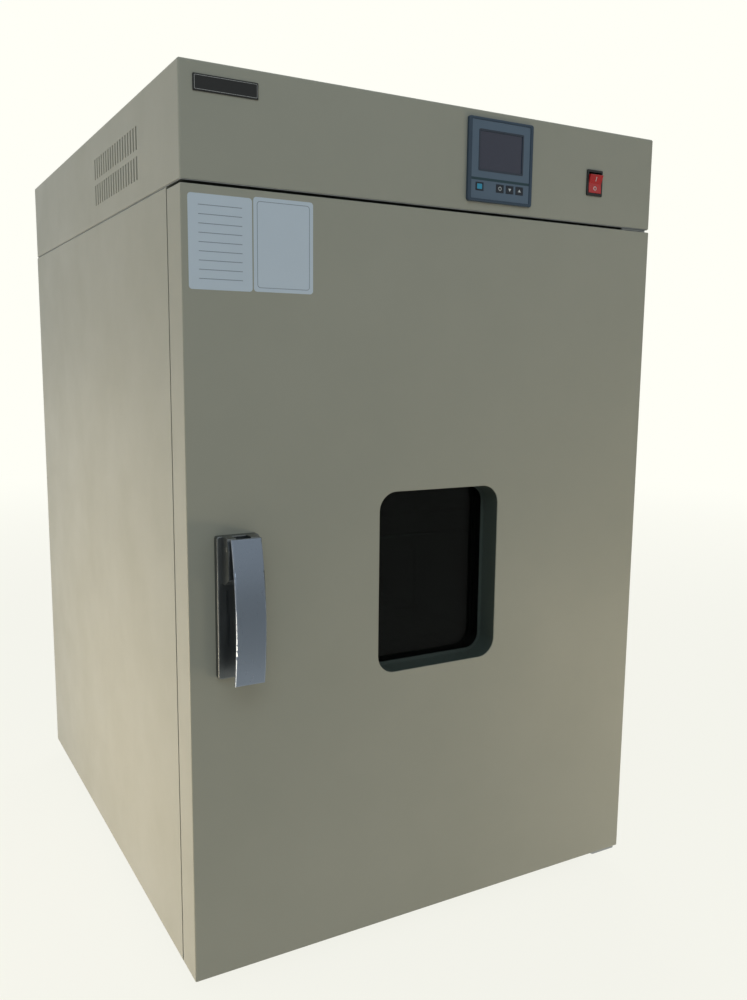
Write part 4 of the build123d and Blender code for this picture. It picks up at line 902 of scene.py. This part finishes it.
@dataclass
class ControlPanel:
    """The controller in the hood's front, with its keys."""

    palette: Palette
    film: float = 0.00015
    sunk: float = 0.0008
    film_size: Flat = (0.0862, 0.0892)
    hole_gap: float = 0.0004
    frame_outside: float = 0.0044
    frame_inside: float = 0.0004
    frame_corners: Flat = (0.0016, 0.0005)
    frame_rise: float = 0.0003
    stripe_height: float = 0.003
    stripe_corner: float = 0.0003
    stripe_drop: float = 0.022
    stripe_rise: float = 0.0001
    square: Flat = (0.0072, 0.006)
    square_corner: float = 0.0006
    ring: Flat = (0.0046, 0.0034)
    arrow_half: float = 0.0021
    arrow_foot: float = 0.0014
    arrow_tip: float = 0.002
    mark_rise: float = 0.00008

    def build(self) -> None:
        """Dresses the controller and adds film, frame, stripe and marks."""
        p = self.palette
        dress(p["controller"], "controller_body")
        dress(p["screen"], "display_lens")
        dress(p["key"], *(mark.value for mark in Mark))
        self._membrane()
        self._key_marks()

    def _membrane(self) -> None:
        """Printed film on the controller's sunk face, with a frame round the screen and a stripe under it."""
        case, lens = Front.of("controller_body"), Front.of("display_lens")
        face = case.y + self.sunk
        raised = face - self.film
        gap = self.hole_gap
        boxes = [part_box(solid) for solid in (*(mark.value for mark in Mark), "display_lens")]
        holes = [(low.x - gap, low.z - gap, high.x + gap, high.z + gap) for low, high in boxes]
        self._printed("panel_film", "membrane", partial(
            punched, size=self.film_size, centre=case.centre, holes=holes, y=face, thickness=self.film))
        outer = rounded(grown(lens.size, self.frame_outside), self.frame_corners[0])
        inner = rounded(grown(lens.size, self.frame_inside), self.frame_corners[1])
        self._printed("screen_frame", "screen_frame", partial(
            hoop, outer=outer, inner=inner, centre=lens.centre, y=raised, thickness=self.frame_rise))
        stripe = rounded((self.film_size[0], self.stripe_height), self.stripe_corner, FINE_STEPS)
        centre = (case.centre[0], case.centre[1] - self.stripe_drop)
        self._printed("panel_stripe", "stripe", partial(
            slab, outline=stripe, centre=centre, y=raised, thickness=self.stripe_rise))

    def _printed(self, name: str, finish: str, build: Callable[[Mesh], None]) -> None:
        """Adds a part of the controller's printed face."""
        piece(name, build, self.palette[finish], "cabinet")

    def _key_marks(self) -> None:
        """A plain generic mark on each key."""
        half, foot, tip = self.arrow_half, self.arrow_foot, self.arrow_tip
        outlines = {
            Mark.SQUARE: rounded(self.square, self.square_corner, FINE_STEPS),
            Mark.UP: [(-half, -foot), (half, -foot), (0.0, tip)],
            Mark.DOWN: [(-half, foot), (0.0, -tip), (half, foot)],
        }
        for mark in Mark:
            front = Front.of(mark.value)
            spot = {"centre": front.centre, "y": front.y, "thickness": self.mark_rise}
            if mark is Mark.RING:
                build = partial(hoop, outer=circle(self.ring[0]), inner=circle(self.ring[1]), **spot)
            else:
                build = partial(slab, outline=outlines[mark], **spot)
            finish = self.palette["key_blue" if mark is Mark.SQUARE else "print"]
            piece(f"{mark.value}_mark", build, finish, mark.value.replace("_key", "_button"))


@dataclass
class PowerSwitch:
    """The power rocker with the usual bar and ring on its two sloping faces.

    The rocker's section, from its pivot: how far its ends reach, how far its fold does, and half its height.
    """

    palette: Palette
    rest_tilt: float = 9.0
    reach: float = 0.0082
    fold: float = 0.006
    half: float = 0.0113
    lift: float = 0.00002
    bar: Flat = (0.0009, 0.0056)
    bar_corner: float = 0.0003
    ring: Flat = (0.005, 0.0034)

    def build(self) -> None:
        """Dresses the switch and adds its marks."""
        dress(self.palette["black"], "rocker_bezel")
        dress(self.palette["rocker"], "rocker_button")
        flat = {"centre": (0.0, 0.0), "y": 0.0, "thickness": INK}
        bar = partial(slab, outline=rounded(self.bar, self.bar_corner, FINE_STEPS), **flat)
        ring = partial(hoop, outer=circle(self.ring[0]), inner=circle(self.ring[1]), **flat)
        for name, side, build in (("rocker_bar", 1, bar), ("rocker_ring", -1, ring)):
            piece(name, partial(laid, build=build, place=self._face(side)), self.palette["print"],
                  "power_rocker")

    def _face(self, side: int) -> Matrix:
        """Gives the middle of one of the rocker's two faces.

        Args:
            side: 1 for the upper face, -1 for the lower one.

        Returns:
            Its place and lean.
        """
        pivot = next(joint for joint in frame["joints"] if joint["name"] == "rocker_tilt")["pos_m"]
        tilt = math.radians(self.rest_tilt)
        slope = math.atan2(self.reach - self.fold, self.half)
        out, up = Matrix.Rotation(tilt, 2) @ Vector((-(self.reach + self.fold) / 2 - self.lift,
                                                     side * self.half / 2))
        spot = Vector((Front.of("rocker_button").centre[0], pivot[1] + out, pivot[2] + up))
        return Matrix.Translation(spot) @ Matrix.Rotation(tilt + side * slope, 4, "X")


@dataclass
class NamePlate:
    """The bare name plate, with a fine raised line round it."""

    palette: Palette
    inset: float = 0.0014
    line: float = 0.0004
    corners: Flat = (0.001, 0.0006)
    rise: float = 0.00012

    def build(self) -> None:
        """Dresses the plate and adds its line."""
        dress(self.palette["plate"], "name_plate")
        plate = Front.of("name_plate")
        size = grown(plate.size, -2 * self.inset)
        outer, inner = rounded(size, self.corners[0]), rounded(grown(size, -2 * self.line), self.corners[1])
        line = partial(hoop, outer=outer, inner=inner, centre=plate.centre, y=plate.y, thickness=self.rise)
        piece("name_plate_line", line, self.palette["plate_edge"], "cabinet")


@dataclass
class Chamber:
    """The heated room: liner, shelves, baffle, fan, heater and probe."""

    palette: Palette
    screw_inset: float = 0.016
    middle_rise: float = 0.0325
    head_radius: float = 0.0045
    head_height: float = 0.002

    def build(self) -> None:
        """Dresses the chamber's solids and adds the baffle's screws."""
        p = self.palette
        dress(p["stainless"], "chamber_liner")
        dress(p["stainless_upright"], "air_baffle", "strip_front_left", "strip_rear_left",
              "strip_front_right", "strip_rear_right", "shelf_clips", "temperature_probe")
        dress(p["wire"], "upper_shelf", "lower_shelf")
        dress(p["heater"], "heater_coil")
        dress(p["aluminium"], "fan_impeller")
        dress(p["motor"], "fan_motor")
        dress(p["screw"], "fan_nut", "fan_shaft", "shaft_bush")
        low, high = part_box("air_baffle")
        inset = self.screw_inset
        column = (low.z + inset, (low.z + high.z) / 2 + self.middle_rise, high.z - inset)
        points = [(x, low.y, z) for x in (low.x + inset, high.x - inset) for z in column]
        heads = Screws(p["screw"], self.head_radius, self.head_height)
        heads.put("baffle_screws", points, Facing.FRONT)


@dataclass
class Lamp:
    """A soft rectangular lamp that points at a spot."""

    name: str
    place: Point
    target: Point
    size: Flat
    power: float
    colour: Colour
    mirrored: bool = True

    def build(self) -> None:
        """Adds the lamp."""
        light = bpy.data.lights.new(self.name, "AREA")
        light.shape = "RECTANGLE"
        light.size, light.size_y = self.size
        light.energy = self.power
        light.color = self.colour
        thing = bpy.data.objects.new(self.name, light)
        thing.visible_glossy = thing.visible_transmission = self.mirrored
        thing.location = self.place
        aim = Vector(self.target) - Vector(self.place)
        thing.rotation_euler = aim.to_track_quat("-Z", "Y").to_euler()
        bpy.context.scene.collection.objects.link(thing)


@dataclass
class Studio:
    """Floor, backdrop, lamps and the camera of the reference view.

    Metal and glass mirror backdrop and floor bright behind the oven, and dim on the side of the camera.
    """

    camera_place: Point = (-0.6284, -1.3062, 0.7191)
    yaw: float = 29.10
    pitch: float = -8.44
    roll: float = 0.467
    lens: float = 32.96
    sensor: float = 36.0
    shift: Flat = (0.0127, 0.0045)
    ambient: float = 0.36
    ambient_colour: Colour = (0.90, 0.97, 1.0)
    white: Colour = (1.0, 1.0, 0.925)
    dim: float = 0.3
    behind_x: Flat = (-0.2, 0.0)
    behind_y: Flat = (-0.2, 0.1)
    floor_reach: float = 30.0
    floor_colour: Colour = (0.62, 0.60, 0.55)
    floor_near: float = 0.86
    floor_dim: float = 0.15
    floor_fade: Flat = (1.2, 5.0)
    floor_front: Flat = (-1.3, -0.3)

    def build(self) -> None:
        """Adds everything around the oven."""
        bpy.context.scene.view_settings.view_transform = "Standard"
        self._world()
        self._floor()
        self._lamps()
        self._camera()

    def _lamps(self) -> None:
        """Adds weak warm lamps near the floor, cool ones above and a strong one behind."""
        amber, cream = (1.0, 0.80, 0.55), (1.0, 0.84, 0.62)
        cool, cooler, even = (0.90, 0.97, 1.0), (0.82, 0.94, 1.0), (0.98, 0.98, 1.0)
        for lamp in (
            Lamp("low_left_lamp", (-1.08, -0.1, 0.14), (-0.33, -0.05, 0.08), (0.9, 0.22), 5.0, amber),
            Lamp("left_lamp", (-2.4, 0.8, 1.5), (-0.33, 0.0, 0.6), (1.6, 1.6), 7.0, cool),
            Lamp("top_lamp", (-0.9, -2.4, 2.5), (0.0, -0.2, 0.7), (1.8, 1.2), 12.0, cooler),
            Lamp("low_right_lamp", (0.8, -1.1, 0.14), (0.27, -0.38, 0.06), (0.5, 0.2), 2.8, cream,
                 mirrored=False),
            Lamp("rear_lamp", (1.8, 2.4, 1.7), (0.0, 0.2, 0.5), (1.8, 1.6), 26.0, even),
        ):
            lamp.build()

    def _seen(self, tree: Tree, straight: Socket | float, mirrored: Socket) -> Socket:
        """Gives how bright the background is: 0 where it would only light a surface.

        Args:
            tree: the tree to build in.
            straight: its level for the camera.
            mirrored: its level in metal and glass.

        Returns:
            The level.
        """
        path = node(tree, "ShaderNodeLightPath", {})
        direct = maths(tree, "MULTIPLY", path["Is Camera Ray"], straight)
        shiny = maths(tree, "MAXIMUM", path["Is Glossy Ray"], path["Is Transmission Ray"])
        return maths(tree, "MAXIMUM", direct, maths(tree, "MULTIPLY", shiny, mirrored))

    def _mixed(self, tree: Tree, level: Socket, light: Socket, background: Socket, target: Socket) -> None:
        """Shows a plain background, as bright as level, in place of what lights the oven."""
        mixed = node(tree, "ShaderNodeMixShader", {"Fac": level, 1: light, 2: background})
        tree.links.new(mixed["Shader"], target)

    def _world(self) -> None:
        """White to look at, and a weak even light on everything."""
        world = bpy.data.worlds.new("studio")
        bpy.context.scene.world = world
        world.use_nodes = True
        tree = world.node_tree
        even = tree.nodes["Background"]
        even.inputs["Color"].default_value = (*self.ambient_colour, 1.0)
        even.inputs["Strength"].default_value = self.ambient
        backdrop = node(tree, "ShaderNodeBackground", {"Color": (*self.white, 1.0)})
        place = node(tree, "ShaderNodeTexCoord", {})["Generated"]
        direction = node(tree, "ShaderNodeSeparateXYZ", {"Vector": place})
        behind = maths(tree, "MULTIPLY", ranged(tree, direction["X"], self.behind_x, (0.0, 1.0), SOFT),
                       ranged(tree, direction["Y"], self.behind_y, (0.0, 1.0), SOFT))
        level = self._seen(tree, 1.0, ranged(tree, behind, (0.0, 1.0), (self.dim, 1.0), SOFT))
        self._mixed(tree, level, even.outputs["Background"], backdrop["Background"],
                    tree.nodes["World Output"].inputs["Surface"])

    def _floor(self) -> None:
        """A wide pale floor that keeps a soft shadow."""
        mesh = bpy.data.meshes.new("floor")
        reach = self.floor_reach
        mesh.from_pydata([(-reach, -reach, 0), (reach, -reach, 0), (reach, reach, 0), (-reach, reach, 0)], [],
                         [(0, 1, 2, 3)])
        floor = bpy.data.objects.new("floor", mesh)
        bpy.context.scene.collection.objects.link(floor)
        mesh.materials.append(self._floor_material())

    def _floor_material(self) -> Material:
        """Makes the floor matt where light falls on it, and plain white where it is only looked at.

        Returns:
            The material.
        """
        material = bpy.data.materials.new("pale_floor")
        material.use_nodes = True
        tree = material.node_tree
        tree.nodes.remove(tree.nodes["Principled BSDF"])
        matt = node(tree, "ShaderNodeBsdfDiffuse", {"Color": (*self.floor_colour, 1.0)})
        glow = node(tree, "ShaderNodeEmission", {"Color": (*self.white, 1.0)})
        place = node(tree, "ShaderNodeTexCoord", {})["Object"]
        distance = node(tree, "ShaderNodeVectorMath", {0: place}, operation="LENGTH")["Value"]
        depth = node(tree, "ShaderNodeSeparateXYZ", {"Vector": place})["Y"]
        far = ranged(tree, distance, self.floor_fade, (self.floor_near, 1.0), SOFT)
        front = ranged(tree, depth, self.floor_front, (self.floor_dim, self.floor_near), SOFT)
        self._mixed(tree, self._seen(tree, far, front), matt["BSDF"], glow["Emission"],
                    tree.nodes["Material Output"].inputs["Surface"])
        return material

    def _camera(self) -> None:
        """The camera, where the reference view was taken from."""
        data = bpy.data.cameras.new("camera")
        data.lens = self.lens
        data.sensor_width = self.sensor
        data.shift_x, data.shift_y = self.shift
        camera = bpy.data.objects.new("camera", data)
        turn = (Matrix.Rotation(-math.radians(self.yaw), 4, "Z")
                @ Matrix.Rotation(math.pi / 2 + math.radians(self.pitch), 4, "X")
                @ Matrix.Rotation(math.radians(self.roll), 4, "Z"))
        camera.matrix_world = Matrix.Translation(self.camera_place) @ turn
        bpy.context.scene.collection.objects.link(camera)
        bpy.context.scene.camera = camera


def main() -> None:
    """Builds the oven's looks, assembly by assembly."""
    logging.basicConfig(level=logging.INFO, format="%(name)s: %(message)s")
    palette = Palette()
    for assembly in (Casing(palette), VentRims(palette), Door(palette), HandleSet(palette),
                     ControlPanel(palette), PowerSwitch(palette), NamePlate(palette), Chamber(palette),
                     Studio()):
        assembly.build()
        log.info("finished %s", type(assembly).__name__)


if __name__ == "__main__":
    main()
